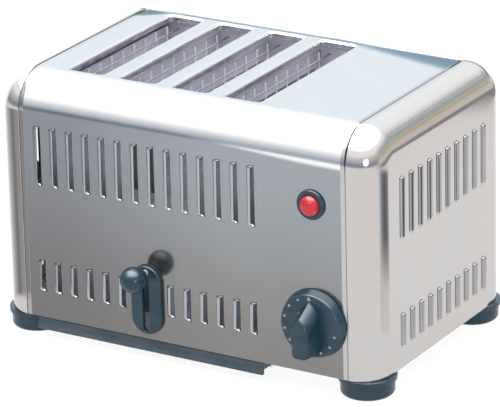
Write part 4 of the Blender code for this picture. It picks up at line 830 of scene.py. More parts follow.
# End caps: a drawn cap of polished stainless sheet closes each end over the wrap's
# turned-down edges. Its corners are ball shaped and two rows of louvres are lanced
# through its side.
SEAM_X = 0.159
CAP_RIM = [(0, 0.00006)]
CAP_EDGE = 0.0255
CAP_STEPS = 14
CAP_SIDE = 0.185
SIDE_PITCH = 0.01583
SIDE_MIDDLE = 0.002
SIDE_COUNT = 10
SIDE_START = SIDE_MIDDLE - (SIDE_COUNT - 1) / 2 * SIDE_PITCH
SIDE_LOUVRES = [(SIDE_START, SIDE_COUNT, 0.1591, 0.0554), (SIDE_START, SIDE_COUNT, 0.0506, 0.0314)]
POLISHED = (0.535, 0.500, 0.478, 1)
POLISHED_COOL = (0.525, 0.510, 0.505, 1)
# Painted shade on the side louvres: darker hoods, darker still at their top ends.
SIDE_HOOD_SHADE = (0.35, 0.345, 0.355, 1)
SIDE_HEAD_SHADE = (0.13, 0.13, 0.14, 1)
POLISH_STRETCH = (900, 900, 16)
POLISH_CLOUDS = (13, 13, 7)
POLISH_SPAN = (0.35, 0.65)
POLISH_GLOSS = (0.04, 0.07)
POLISH_SMUDGES = 0.04
POLISH_DEPTH = 0.000003
HEAD_GLOSS = 0.4


def cap_finish():
    """Polished stainless sheet with faint upright polishing lines; the hoods are painted darker as shade,
    their top ends darker still and rougher.
    """
    material, tree = new_material("polished_steel_sheet")
    place = object_place(tree)
    lines = noise(tree, place, POLISH_STRETCH, detail=3.0, roughness=0.6)
    clouds = noise(tree, place, POLISH_CLOUDS, detail=3.0)
    colour = toned(tree, clouds, POLISH_SPAN, POLISHED, POLISHED_COOL)
    hood = reckon(tree, "SUBTRACT", attribute(tree, "hood"), attribute(tree, "hood_foot"), clamp=True)
    head = attribute(tree, "hood_head")
    # painted shade on the hoods and their top ends
    for share, other in ((hood, SIDE_HOOD_SHADE), (head, SIDE_HEAD_SHADE)):
        colour = blend_colours(tree, share, colour, other)
    rough = varied(tree, lines, POLISH_GLOSS[0], varied(tree, head, HEAD_GLOSS, POLISH_GLOSS[1]))
    rough = varied(tree, smudges(tree, place), POLISH_SMUDGES, rough)
    return surfaced(material, tree, Base_Color=colour, Metallic=1.0, Roughness=rough,
                    Normal=bump_of(tree, lines, POLISH_DEPTH))


polished_sheet = cap_finish()
for side, hand in ((-1, "left"), (1, "right")):
    sections = [(SEAM_X + out, inset) for out, inset in CAP_RIM]
    sections += [(CAP_SIDE - CAP_EDGE * (1 - math.sin(angle)), CAP_EDGE * (1 - math.cos(angle)))
                 for angle in quarter_turn(CAP_STEPS)]
    rings = [[(side * x, in_place(y), z) for y, z in section_line(inset)] for x, inset in sections]
    sheet = bmesh.new()
    loft(sheet, rings, closed=False)
    cut_sheet(sheet, section_line(CAP_EDGE), louvre_cells(SIDE_LOUVRES, SIDE_PITCH),
              lambda y, z: (side * CAP_SIDE, in_place(y), z))
    bmesh.ops.remove_doubles(sheet, verts=sheet.verts, dist=WELD)
    cap = link_mesh("cap_" + hand, sheet)
    turn = Matrix(((0, 1, 0), (0, 0, side), (side, 0, 0))).transposed().to_euler()
    blanks = []
    for start, count, height, length in SIDE_LOUVRES:
        blanks.append(louvre_blank(length, SIDE_HOOD_SPAN, side))
        run_tree(cap, blank_row, polished_sheet, Blank=blanks[-1], Count=count, Turn=tuple(turn),
                 Start=(side * CAP_SIDE, in_place(start), height), Pitch=(0, SIDE_PITCH, 0))
    complete_shell(cap, "polished_steel", "end_cap_" + hand, blanks)


# Inner steelwork: base pan, chamber walls, tray runners and the lift's carriage and
# brackets, folded from zinc-coated sheet whose crystals show as a fine pattern.
ZINC_DARK = (0.74, 0.73, 0.79, 1)
ZINC_LIGHT = (0.88, 0.87, 0.92, 1)
# The front chamber wall is darker and bluer than the other zinc, partly as heat tint and partly as painted
# shade for the dim inside seen through the louvres.
DULL_SHADED_DARK = (0.56, 0.66, 0.78, 1)
DULL_SHADED_LIGHT = (0.68, 0.78, 0.90, 1)
# Painted shade: a dark band on the front chamber wall where the lever's slot looks in.
LEVER_SLOT_SHADE = (0.16, 0.22, 0.25, 1)
LEVER_SLOT_SHADE_X = -0.0515
LEVER_SLOT_SHADE_SPAN = (0.017, 0.010)
CRYSTAL_SCALE = 170.0
CRYSTAL_GLOSS = 0.15
ZINC_STRETCH = 30
ZINC_GLOSS = (0.1, 0.3)
ZINC_DEPTH = 0.00005
ZINC_METAL = 0.45
INNER_NODES = ["base_pan", "tray_runner_left", "tray_runner_right", "chamber_wall_back",
               "chamber_wall_left", "control_partition", "rod_bracket_lower", "rod_bracket_upper",
               "lift_carriage"]


def cells(tree, place, scale):
    """Random colour for each of the cells that fill a place."""
    return add_node(tree, "ShaderNodeTexVoronoi", Vector=place, Scale=scale).outputs["Color"]


def zinc_finish(name, dark, light, slot_shaded=0.0):
    """Zinc-coated sheet, which may carry a painted shade band where the lever's slot looks in."""
    material, tree = new_material(name)
    place = object_place(tree)
    crystals = cells(tree, place, CRYSTAL_SCALE)
    from_run = reckon(tree, "ABSOLUTE", reckon(tree, "SUBTRACT", parts_of(tree, place)["X"], LEVER_SLOT_SHADE_X))
    # painted shade band behind the lever's slot
    slot_shade_share = between(tree, from_run, *LEVER_SLOT_SHADE_SPAN, 0.0, slot_shaded)
    colour = blend_colours(tree, slot_shade_share, blend_colours(tree, crystals, dark, light), LEVER_SLOT_SHADE)
    clouds = noise(tree, place, ZINC_STRETCH, detail=3.0)
    rough = varied(tree, crystals, CRYSTAL_GLOSS, varied(tree, clouds, *ZINC_GLOSS))
    return surfaced(material, tree, Base_Color=colour, Metallic=ZINC_METAL, Roughness=rough,
                    Normal=bump_of(tree, clouds, ZINC_DEPTH))


def dress(material, *names):
    """Give solids of the frame a finish."""
    for name in names:
        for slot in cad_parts[name].material_slots:
            slot.material = material


dress(zinc_finish("zinc_coated_sheet", ZINC_DARK, ZINC_LIGHT), *INNER_NODES)
# front chamber wall: darker bluish zinc, partly painted shade, with the painted shade band behind the lever's
# slot
dress(zinc_finish("heat_dulled_shaded_sheet", DULL_SHADED_DARK, DULL_SHADED_LIGHT, slot_shaded=1.0), "chamber_wall_front")


# Feet: four turned feet of black plastic, each with a collar under the body and a
# recess below, in which a screw holds it to the base pan.
FOOT_X = 0.1635
FOOT_Y = 0.0925
FOOT_TOP = 0.0177
FOOT_COLLAR = 0.025
FOOT_WALL = 0.023
FOOT_RECESS = (0.008, 0.009)
FOOT_LIP = 0.0006
FOOT_BEND = 0.004
FOOT_EDGE = 0.0005
FOOT_NECK = 0.0050
COLLAR_RIM = 0.0039
SCREW_HEAD = (0.0038, 0.0022)
SCREW_SHANK = 0.0019
SCREW_SOCKET = (0.0008, 0.0008)
SCREW_FACE = (0.0010, 0.0002)
SCREW_DOME = (0.0012, 0.0010)
PLASTIC = (0.0035, 0.016, 0.027, 1)
PLASTIC_WORN = (0.008, 0.024, 0.036, 1)
FLOW_STRETCH = (40, 40, 90)
FLOW_SPAN = (0.35, 0.7)
FLOW_GLOSS = (0.12, 0.18)
GRAIN_STRETCH = 1500
GRAIN_DEPTH = 0.00001
WIRE_DARK = (0.80, 0.80, 0.82, 1)
WIRE_LIGHT = (0.92, 0.92, 0.92, 1)
WIRE_STRETCH = 900
WIRE_GLOSS = (0.15, 0.25)
WIRE_DEPTH = 0.00001
WIRE_METAL = 0.55
UP = Matrix.Identity(3)
FRONT = Matrix.Rotation(math.pi / 2, 3, "X")
REAR = Matrix.Rotation(-math.pi / 2, 3, "X")


def arc(middle, radius, first, last, steps=6):
    """Points of an arc between two angles in degrees."""
    points = []
    for step in range(steps + 1):
        angle = math.radians(first + (last - first) * step / steps)
        points.append((middle[0] + radius * math.cos(angle), middle[1] + radius * math.sin(angle)))
    return points


def turned(bm, profile, place, turn, steps=ROUND_STEPS):
    """Skin turned from (radius, height) points about an axis through a place."""
    rings = []
    for radius, height in profile:
        ring = []
        for step in range(steps):
            angle = math.tau * step / steps
            point = Vector((radius * math.cos(angle), radius * math.sin(angle), height))
            ring.append(turn @ point + Vector(place))
        rings.append(ring)
    loft(bm, rings)
    bmesh.ops.remove_doubles(bm, verts=bm.verts, dist=WELD)


def turned_piece(name, profile, place, turn, steps=ROUND_STEPS):
    """Object that is turned from one profile."""
    bm = bmesh.new()
    turned(bm, profile, place, turn, steps)
    return link_mesh(name, bm)


def plastic_finish():
    """Moulded plastic: faint flow marks, fine grain and a slight gloss."""
    material, tree = new_material("slate_plastic")
    place = object_place(tree)
    flow = noise(tree, place, FLOW_STRETCH, detail=4.0, roughness=0.6)
    grain = noise(tree, place, GRAIN_STRETCH)
    return surfaced(material, tree, Base_Color=toned(tree, flow, FLOW_SPAN, PLASTIC, PLASTIC_WORN),
                    Roughness=varied(tree, flow, *FLOW_GLOSS), Specular_IOR_Level=0.38,
                    Normal=bump_of(tree, grain, GRAIN_DEPTH, 0.3))


def wire_finish(name, dark, light):
    """Drawn steel wire with fine lines round it."""
    material, tree = new_material(name)
    drawn = noise(tree, object_place(tree), WIRE_STRETCH, detail=3.0)
    return surfaced(material, tree, Base_Color=blend_colours(tree, drawn, dark, light), Metallic=WIRE_METAL,
                    Roughness=varied(tree, drawn, *WIRE_GLOSS), Normal=bump_of(tree, drawn, WIRE_DEPTH))


black_plastic = plastic_finish()
bright_wire = wire_finish("bright_wire", WIRE_DARK, WIRE_LIGHT)
foot_profile = [(0, FOOT_RECESS[1]), (FOOT_RECESS[0], FOOT_RECESS[1])]
foot_profile += arc((FOOT_RECESS[0] + FOOT_LIP, FOOT_LIP), FOOT_LIP, 180, 270, 3)
foot_profile += arc((FOOT_WALL - FOOT_BEND, FOOT_BEND), FOOT_BEND, -90, 0, 8)
foot_profile += arc((FOOT_WALL + FOOT_EDGE, FOOT_TOP - FOOT_NECK), FOOT_EDGE, 180, 90, 3)
foot_profile += arc((FOOT_COLLAR - FOOT_LIP, FOOT_TOP - COLLAR_RIM), FOOT_LIP, -90, 0, 3)
foot_profile += arc((FOOT_COLLAR - FOOT_EDGE, FOOT_TOP - FOOT_EDGE), FOOT_EDGE, 0, 90, 3)
foot_profile.append((0, FOOT_TOP))
screw_low = FOOT_RECESS[1] - SCREW_HEAD[1]
screw_dome = (SCREW_HEAD[0] - SCREW_DOME[0], FOOT_RECESS[1] - SCREW_DOME[1])
screw_profile = [(0, screw_low + SCREW_SOCKET[1]), (SCREW_SOCKET[0], screw_low + SCREW_SOCKET[1]),
                 (SCREW_FACE[0], screw_low + SCREW_FACE[1])]
screw_profile += arc(screw_dome, SCREW_DOME[0], -90, 0, 5)
screw_profile += [(SCREW_HEAD[0], FOOT_RECESS[1]), (SCREW_SHANK, FOOT_RECESS[1]), (SCREW_SHANK, FOOT_TOP),
                  (0, FOOT_TOP)]
foot_nodes = ["foot_" + row + "_" + hand for row in ("front", "rear") for hand in ("left", "right")]
for name, profile, finish, slot, stood_for in (
        ("feet", foot_profile, black_plastic, "black_plastic", foot_nodes),
        ("foot_screws", screw_profile, bright_wire, "bright_wire", [])):
    blank = turned_piece("blank", profile, (0, 0, 0), UP)
    feet = link_mesh(name, bmesh.new())
    for side_y in (-1, 1):
        run_tree(feet, blank_row, finish, Blank=blank, Count=2, Pitch=(2 * FOOT_X, 0, 0),
                 Start=(-FOOT_X, in_place(side_y * FOOT_Y), 0))
    complete(baked(feet), "housing", slot, *stood_for)
    clear_away([blank])


# Crumb tray: an open pan folded from dark coated sheet slides under the chamber. Its
# folded lip shows below the front panel and is the pull.
TRAY_X = (-0.1305, 0.0745)
TRAY_Y = (-0.1159, 0.095)
TRAY_Z = (0.0084, 0.0172)
TRAY_CORNER = 0.002
TRAY_BEND = 0.0014
LIP_HALF = 0.1125
LIP_SECTION = [(-0.1157, 0.0174), (-0.1161, 0.0174), (-0.1164, 0.01725), (-0.1165, 0.0170), (-0.1165, 0.0131),
               (-0.11665, 0.0123), (-0.1173, 0.0107), (-0.1186, 0.0083), (-0.1187, 0.0079),
               (-0.11855, 0.0075), (-0.1182, 0.0074), (-0.1157, 0.0074)]
LIP_SOFT = 0.0003
TRAY_COAT = (0.020, 0.032, 0.042, 1)
TRAY_COAT_WORN = (0.038, 0.050, 0.062, 1)
COAT_STRETCH = (24, 60, 60)
COAT_SPAN = (0.4, 0.7)
COAT_GLOSS = (0.15, 0.22)
COAT_METAL = 0.35
PEEL_STRETCH = 500
PEEL_DEPTH = 0.00003


def coated_finish():
    """Dark coated sheet, a little worn, with the orange-peel of a baked coat."""
    material, tree = new_material("dark_coated_sheet")
    place = object_place(tree)
    clouds = noise(tree, place, COAT_STRETCH, detail=4.0)
    peel = noise(tree, place, PEEL_STRETCH, detail=1.0)
    return surfaced(material, tree, Base_Color=toned(tree, clouds, COAT_SPAN, TRAY_COAT, TRAY_COAT_WORN),
                    Metallic=COAT_METAL, Roughness=varied(tree, clouds, *COAT_GLOSS),
                    Normal=bump_of(tree, peel, PEEL_DEPTH, 0.5))


pan = bmesh.new()
tray_middle = ((TRAY_X[0] + TRAY_X[1]) / 2, in_place((TRAY_Y[0] + TRAY_Y[1]) / 2))
tray_half = ((TRAY_X[1] - TRAY_X[0]) / 2, (TRAY_Y[1] - TRAY_Y[0]) / 2)
rings = []
for inset, rise in arc((TRAY_BEND, TRAY_BEND), TRAY_BEND, -90, -180, 5) + [(0, TRAY_Z[1] - TRAY_Z[0])]:
    loop = rounded_box(tray_middle, tray_half[0] - inset, tray_half[1] - inset,
                       TRAY_CORNER + TRAY_BEND - inset)
    rings.append([(x, y, TRAY_Z[0] + rise) for x, y in loop])
rows = loft(pan, rings)
pan.faces.new(rows[0])
tray = link_mesh("tray_pan", pan)
face_outwards(tray)
tray.data.materials.append(coated_finish())
thicken(tray, SHEET)
baked(tray)
lip = bmesh.new()
middle_y = sum(y for y, z in LIP_SECTION) / len(LIP_SECTION)
middle_z = sum(z for y, z in LIP_SECTION) / len(LIP_SECTION)
rings = []
for x, soft in ((-LIP_HALF, LIP_SOFT), (LIP_SOFT - LIP_HALF, 0), (LIP_HALF - LIP_SOFT, 0),
                (LIP_HALF, LIP_SOFT)):
    ring = []
    for y, z in LIP_SECTION:
        inwards = Vector((middle_y - y, middle_z - z)).normalized() * soft
        ring.append((LEVER_X + x, in_place(y + inwards.x), z + inwards.y))
    rings.append(ring)
capped_loft(lip, rings)
bmesh.ops.recalc_face_normals(lip, faces=lip.faces)
lip.from_mesh(tray.data)
lip.to_mesh(tray.data)
lip.free()
shade(tray)
add_piece(tray, "crumb_tray", "tray_steel", "crumb_tray")


# Heating boards: five mica boards hang by tabs in the end walls between and beside the
# slots, each wound with five turns of flat resistance ribbon.
BOARD_XS = [-0.1374, -0.0862, -0.035, 0.0162, 0.0674]
BOARD_HALF = 0.0006
BOARD_END = 0.0917
BOARD_Z = (0.062, 0.222)
BOARD_TABS = ((0.082, 0.092), (0.192, 0.202))
TAB_END = 0.0928
RIBBON_HALF = (0.0011, 0.0815, 0.002)
RIBBON_PITCH = 0.032
RIBBON_COUNT = 5
EDGE = 0.0003
CORNER_SHARE = 1.4
MICA_DARK = (0.50, 0.48, 0.57, 1)
MICA_LIGHT = (0.70, 0.68, 0.77, 1)
MICA_SCALE = 120.0
MICA_STRETCH = 40
MICA_GLOSS = (0.2, 0.35)
MICA_DEPTH = 0.00004
MICA_METAL = 0.2
RIBBON_LOOK = ((8, 60, 8), (0.35, 0.65), ((0.34, 0.31, 0.33, 1), (0.26, 0.25, 0.32, 1)), (0.2, 0.25), 0.00002)


def slab(bm, low, high, corner):
    """Block with softened edges."""
    middle = ((low[0] + high[0]) / 2, (low[1] + high[1]) / 2)
    half = ((high[0] - low[0]) / 2, (high[1] - low[1]) / 2)
    rings = []
    for inset, z in ((corner, low[2]), (0, low[2] + corner), (0, high[2] - corner), (corner, high[2])):
        loop = rounded_box(middle, half[0] - inset, half[1] - inset, CORNER_SHARE * corner - inset, steps=2)
        rings.append([(x, y, z) for x, y in loop])
    capped_loft(bm, rings)


def mica_finish():
    """Pressed mica: overlapping flakes of gray with a faint purple gloss."""
    material, tree = new_material("mica_board")
    place = object_place(tree)
    flakes = cells(tree, place, MICA_SCALE)
    clouds = noise(tree, place, MICA_STRETCH, detail=4.0)
    colour = blend_colours(tree, blend_colours(tree, 0.5, flakes, clouds), MICA_DARK, MICA_LIGHT)
    return surfaced(material, tree, Base_Color=colour, Metallic=MICA_METAL,
                    Roughness=varied(tree, flakes, *MICA_GLOSS),
                    Normal=bump_of(tree, flakes, MICA_DEPTH, 0.6))


def grained_finish(name, stretch, span, colours, gloss, depth, metal=0.0, detail=3.0):
    """Finish whose colour, gloss and relief all follow one noise."""
    material, tree = new_material(name)
    grain = noise(tree, object_place(tree), stretch, detail)
    return surfaced(material, tree, Base_Color=toned(tree, grain, span, *colours), Metallic=metal,
                    Roughness=varied(tree, grain, *gloss), Normal=bump_of(tree, grain, depth))


mica = mica_finish()
ribbon_steel = grained_finish("resistance_ribbon", *RIBBON_LOOK, metal=1.0)
one = bmesh.new()
slab(one, [-part for part in RIBBON_HALF], RIBBON_HALF, EDGE)
ribbon_blank = link_mesh("ribbon_blank", one)
for number, board_x in enumerate(BOARD_XS, 1):
    board = bmesh.new()
    for end, (low, high) in ((BOARD_END, BOARD_Z), *((TAB_END, tab) for tab in BOARD_TABS)):
        slab(board, (board_x - BOARD_HALF, in_place(-end), low), (board_x + BOARD_HALF, in_place(end), high),
             EDGE)
    complete(link_mesh("heating_board_" + str(number), board), "housing", "mica_board",
             "heating_element_" + str(number), finish=mica)
    ribbons = link_mesh("heating_ribbon_" + str(number), bmesh.new())
    run_tree(ribbons, blank_row, ribbon_steel, Blank=ribbon_blank, Count=RIBBON_COUNT,
             Start=(board_x, in_place(0), BOARD_Z[0] + RIBBON_PITCH / 2), Pitch=(0, 0, RIBBON_PITCH))
    complete(baked(ribbons), "housing", "bright_wire")
clear_away([ribbon_blank])


# Bread guards: a grille of welded bright wire stands on each side of every slot, its
# rails held in the end walls and tinted by the heat, and keeps the bread off the ribbon.
GUARD_OFFSET = 0.0152
GUARD_RADIUS = 0.0007
GUARD_Z = (0.060, 0.2265)
GUARD_PITCH = 0.018
GUARD_COUNT = 9
RAIL_END = 0.0917
RAIL_HEIGHTS = (0.0607, 0.100, 0.140, 0.180, 0.2195)
WIRE_SIDES = 10
RAIL_DARK = (0.20, 0.19, 0.23, 1)
RAIL_LIGHT = (0.32, 0.31, 0.35, 1)
WIRE_CREASE = 50


def wire_tree():
    """Geometry nodes that lay a row of straight round wires."""
    tree, given, points = new_tree("wire_row", ("Run", "Vector"), ("Radius", "Float"), ("Sides", "Int"))
    axis = add_node(tree, "GeometryNodeCurvePrimitiveLine", End=given["Run"])
    section = add_node(tree, "GeometryNodeCurvePrimitiveCircle", Resolution=given["Sides"],
                       Radius=given["Radius"])
    wire = add_node(tree, "GeometryNodeCurveToMesh", Curve=axis.outputs[0],
                    Profile_Curve=section.outputs[0], Fill_Caps=True)
    return set_out(tree, given, points, wire.outputs[0], (0, 0, 0))


wire_row = wire_tree()
browned_wire = wire_finish("heat_tinted_wire", RAIL_DARK, RAIL_LIGHT)
for number, slot_x in enumerate(SLOT_XS, 1):
    for side, hand in ((-1, "left"), (1, "right")):
        name = str(number) + "_" + hand
        x = slot_x + side * GUARD_OFFSET
        first_y = in_place(-GUARD_PITCH * (GUARD_COUNT - 1) / 2)
        uprights = link_mesh("guard_" + name, bmesh.new())
        run_tree(uprights, wire_row, bright_wire, Count=GUARD_COUNT, Start=(x, first_y, GUARD_Z[0]),
                 Pitch=(0, GUARD_PITCH, 0), Run=(0, 0, GUARD_Z[1] - GUARD_Z[0]), Radius=GUARD_RADIUS,
                 Sides=WIRE_SIDES)
        rails = link_mesh("guard_rails_" + name, bmesh.new())
        for height in RAIL_HEIGHTS:
            run_tree(rails, wire_row, browned_wire, Count=1, Start=(x, in_place(-RAIL_END), height),
                     Run=(0, 2 * RAIL_END, 0), Radius=GUARD_RADIUS, Sides=WIRE_SIDES)
        complete(baked(uprights), "housing", "bright_wire", "bread_guard_" + name, angle=WIRE_CREASE)
        complete(baked(rails), "housing", "bright_wire", angle=WIRE_CREASE)


# Bread lift: the racks, the guide rods, their coiled springs and the clip are bright steel;
# a round arm passes through the front panel and carries a moulded ball knob.
LIFT_Z = 0.0795
ARM_RADIUS = 0.0027
ARM_REACH = (0.0986, 0.1358)
ARM_STEPS = 32
BALL_REACH = 0.1384
BALL_RADIUS = 0.0113
BALL_NECK = (0.0048, 0.0143)
BALL_BORE = (0.003, 0.0023)
SPRING_WIRE = 0.0006
SPRING_CURLS = 6
SPRING_STEPS = 20
SPRING_SIDES = 8
BALL_LIP = (0.0004, 0.0003)
BALL_FOOT = 0.0005
LIFT_NODES = ["bread_rack_" + str(number) for number in (1, 2, 3, 4)] + [
    "guide_rod_left", "guide_rod_right", "hold_down_clip", "timer_shaft"]

dress(bright_wire, *LIFT_NODES)
for hand in ("left", "right"):
    spring_low, spring_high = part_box("return_spring_" + hand)
    spring_middle = (spring_low + spring_high) / 2
    coil_radius = (spring_high.x - spring_low.x) / 2 - SPRING_WIRE
    coil_rise = spring_high.z - spring_low.z - 2 * SPRING_WIRE
    rings = []
    for step in range(SPRING_CURLS * SPRING_STEPS + 1):
        angle = math.tau * step / SPRING_STEPS
        out = Vector((math.cos(angle), math.sin(angle), 0))
        centre = Vector((spring_middle.x, spring_middle.y, spring_low.z + SPRING_WIRE))
        centre += coil_radius * out + Vector((0, 0, coil_rise * step / (SPRING_CURLS * SPRING_STEPS)))
        rings.append([centre + a * out + Vector((0, 0, b))
                      for a, b in ring_of((0, 0), SPRING_WIRE, SPRING_SIDES)])
    coil = bmesh.new()
    capped_loft(coil, rings)
    spring = link_mesh("lift_spring_" + hand, coil)
    complete(spring, "housing", "bright_wire", "return_spring_" + hand, finish=bright_wire)
    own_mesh(spring)
rod_profile = [(0, ARM_REACH[0]), (ARM_RADIUS - EDGE, ARM_REACH[0]), (ARM_RADIUS, ARM_REACH[0] + EDGE),
               (ARM_RADIUS, ARM_REACH[1] - EDGE), (ARM_RADIUS - EDGE, ARM_REACH[1]), (0, ARM_REACH[1])]
lever_rod = turned_piece("lever_rod", rod_profile, (LEVER_X, in_place(0), LIFT_Z), FRONT, ARM_STEPS)
complete(lever_rod, "bread_lift", "bright_wire", "lever_arm", finish=bright_wire)
neck_angle = math.degrees(math.acos(BALL_NECK[0] / BALL_RADIUS))
neck_depth = math.sqrt(BALL_RADIUS ** 2 - BALL_NECK[0] ** 2)
profile = arc((0, 0), BALL_RADIUS, 90, 2 - neck_angle, 26)
profile += arc((BALL_NECK[0] + BALL_LIP[0], BALL_LIP[1] - neck_depth), BALL_LIP[0], 90, 180, 3)
profile += arc((BALL_NECK[0] - BALL_FOOT, BALL_FOOT - BALL_NECK[1]), BALL_FOOT, 0, -90, 3)
profile += [(BALL_BORE[0], -BALL_NECK[1]), (BALL_BORE[0], -BALL_BORE[1]), (0, -BALL_BORE[1])]
ball_place = (LEVER_X, in_place(-BALL_REACH), LIFT_Z)
ball_knob = turned_piece("ball_knob", profile, ball_place, FRONT, FINE_STEPS)
complete(ball_knob, "bread_lift", "black_plastic", "lever_knob", finish=black_plastic)


# Lever plate: an oval plate of black plastic with a rounded edge frames the slot in
# which the lever runs, and hides the wider opening of the sheet behind it.
PLATE = (0.030, 0.062)
PLATE_BACK = 0.1168
PLATE_FRONT = 0.1204
PLATE_EDGE = 0.0016
PLATE_SLOT = (0.0066, 0.0572)
PLATE_SLOT_EDGE = 0.0006
PLATE_STEPS = 20
plate_middle = (LEVER_X, LEVER_OPENING[2])
sections = [(PLATE, 0, PLATE_BACK)]
for out, along in arc((-PLATE_EDGE, PLATE_FRONT - PLATE_EDGE), PLATE_EDGE, 0, 90, 6):
    sections.append((PLATE, out, along))
for out, along in arc((PLATE_SLOT_EDGE, PLATE_FRONT - PLATE_SLOT_EDGE), PLATE_SLOT_EDGE, 90, 180, 4):
    sections.append((PLATE_SLOT, out, along))
sections += [(PLATE_SLOT, 0, PLATE_BACK), (PLATE, 0, PLATE_BACK)]
plate = bmesh.new()
rings = []
for size, out, along in sections:
    loop = stadium(size[0] + 2 * out, size[1] + 2 * out, plate_middle, PLATE_STEPS)
    rings.append([(x, in_place(-along), z) for x, z in loop])
loft(plate, rings)
bmesh.ops.remove_doubles(plate, verts=plate.verts, dist=WELD)
complete(link_mesh("lever_frame", plate), "housing", "black_plastic", "lever_plate", finish=black_plastic)


# Timer knob: a moulded skirt with a raised grip across its face, whose top end is a
# pointed arch and slopes back. A ring of printed dots runs round the skirt.
KNOB_FACE = 0.0095
KNOB_RADIUS = 0.030
KNOB_GAP = 0.001
KNOB_EDGE = 0.0021
KNOB_WALL = 0.0025
GRIP_RISE = 0.018
GRIP_HALF = 0.0095
GRIP_LOW = -0.0235
GRIP_TIP = 0.0215
GRIP_DRAFT = 0.0022
GRIP_SLOPE = 0.010
GRIP_CORNER = 0.0038
GRIP_ARCH = 0.013
GRIP_CREST = 0.0016
DOT_RING = 0.0242
DOT_RADIUS = 0.0011
DOT_RISE = 0.00012
DOT_COUNT = 10
DOT_STEP = math.tau / 14
DOT_FIRST = 4 * DOT_STEP
DOT_SHOULDER = 0.8
MARK_RING = 0.013
MARK_ANGLE = math.radians(-42)
DOT_ROWS = [(DOT_RADIUS, DOT_RING, DOT_COUNT, DOT_FIRST), (1.4 * DOT_RADIUS, DOT_RING, 1, 0),
            (1.6 * DOT_RADIUS, MARK_RING, 1, MARK_ANGLE)]
KNOB_HUB = 0.007
KNOB_BORE = (0.0033, 0.016)
KNOB_CREASE = 30
KNOB_STEPS = 96
GRIP_FOOT = -0.0008
ARCH_STEPS = 10
DOT_SIDES = 20
DOT_WELD = WELD / 10
PRINT_LOOK = (700, (0.4, 0.65), ((0.15, 0.17, 0.20, 1), (0.09, 0.11, 0.14, 1)), (0.2, 0.3), 0.00001)
timer_place = (TIMER_PLACE[0], in_place(-HALF_DEPTH), TIMER_PLACE[1])


def grip_loop(rise, inset):
    """Outline of the grip at a height: round lower corners, straight sides, pointed arch."""
    share = rise / GRIP_RISE
    half = GRIP_HALF - GRIP_DRAFT * share - inset
    low = GRIP_LOW + inset
    tip = GRIP_TIP - GRIP_SLOPE * share - inset
    right = arc((half - GRIP_CORNER, low + GRIP_CORNER), GRIP_CORNER, -90, 0, 7)
    for step in range(ARCH_STEPS + 1):
        share_up = step / ARCH_STEPS
        right.append((half * (1 - share_up ** 2), tip - GRIP_ARCH + GRIP_ARCH * share_up))
    left = [(-x, y) for x, y in reversed(right[:-1])]
    return right + left


def ring_tree():
    """Geometry nodes that turn copies of a blank about a centre on the front."""
    tree, given, points = new_tree("blank_ring", ("Blank", "Object"), ("First", "Float"), ("Step", "Float"))
    blank = add_node(tree, "GeometryNodeObjectInfo", Object=given["Blank"])
    number = tree.nodes.new("GeometryNodeInputIndex").outputs[0]
    angle = varied(tree, number, given["Step"], given["First"])
    euler = add_node(tree, "ShaderNodeCombineXYZ", Y=angle)
    return set_out(tree, given, points, blank.outputs["Geometry"], euler.outputs[0])


knob = bmesh.new()
knob_under = KNOB_FACE - KNOB_WALL
profile = [(0, KNOB_FACE)]
profile += arc((KNOB_RADIUS - 2 * KNOB_EDGE, KNOB_FACE - KNOB_EDGE), KNOB_EDGE, 90, 12, 7)
profile += [(KNOB_RADIUS, KNOB_GAP), (KNOB_RADIUS - KNOB_WALL, KNOB_GAP),
            (KNOB_RADIUS - KNOB_WALL, knob_under), (KNOB_HUB, knob_under), (KNOB_HUB, KNOB_GAP),
            (KNOB_BORE[0], KNOB_GAP), KNOB_BORE, (0, KNOB_BORE[1])]
turned(knob, profile, timer_place, FRONT, KNOB_STEPS)
grip_top = GRIP_RISE - GRIP_CREST
rings = []
for rise, inset in [(GRIP_FOOT, 0), (grip_top, 0)] + [
        (grip_top + up, out) for out, up in arc((GRIP_CREST, 0), GRIP_CREST, 165, 90, 5)]:
    rings.append([(timer_place[0] + x, timer_place[1] - KNOB_FACE - rise, timer_place[2] + y)
                  for x, y in grip_loop(rise, inset)])
capped_loft(knob, rings)
complete(link_mesh("timer_dial", knob), "timer_spindle", "black_plastic", "timer_knob", finish=black_plastic,
         angle=KNOB_CREASE)
printed = grained_finish("light_print", *PRINT_LOOK)
dots = link_mesh("dial_dots", bmesh.new())
blanks = []
for radius, ring, count, first in DOT_ROWS:
    profile = [(0, 0), (radius, 0), (radius, DOT_RISE / 2), (DOT_SHOULDER * radius, DOT_RISE), (0, DOT_RISE)]
    blanks.append(turned_piece("dot_blank", profile, (0, 0, ring), FRONT, DOT_SIDES))
    run_tree(dots, ring_tree(), printed, DOT_WELD, Blank=blanks[-1], Count=count, First=first,
             Step=DOT_STEP, Start=(timer_place[0], timer_place[1] - KNOB_FACE, timer_place[2]))
baked(dots)
shade(dots)
add_piece(dots, "timer_spindle", "black_plastic")
clear_away(blanks)


# Pilot lamp: a red moulded lens with fine ribs inside sits in a black bezel, whose
# barrel passes through the panel to a nut.
BEZEL = (0.013, 0.0026)
BARREL = (0.0098, 0.022)
SOCKET = (0.0091, 0.006)
LENS_RADIUS = 0.0088
LENS_SEAT = 0.0029
LENS_RISE = 0.0056
LENS_STEPS = 12
LENS_FULLNESS = 0.8
LENS_RIBS = 22
LENS_STRETCH = 160
# Painted glint: the lens turns from red to lighter pink along its ribs.
LENS_GLINT_SPAN = (0.56, 0.80)
LENS_GLOSS = 0.14
RIB_SHARE = 0.05
RIB_RELIEF = 0.00003
BEZEL_BEND = 0.0014
LENS_RED = (0.235, 0.009, 0.014, 1)
LENS_GLINT = (0.36, 0.06, 0.075, 1)
lamp_place = (LAMP_PLACE[0], in_place(-HALF_DEPTH), LAMP_PLACE[1])


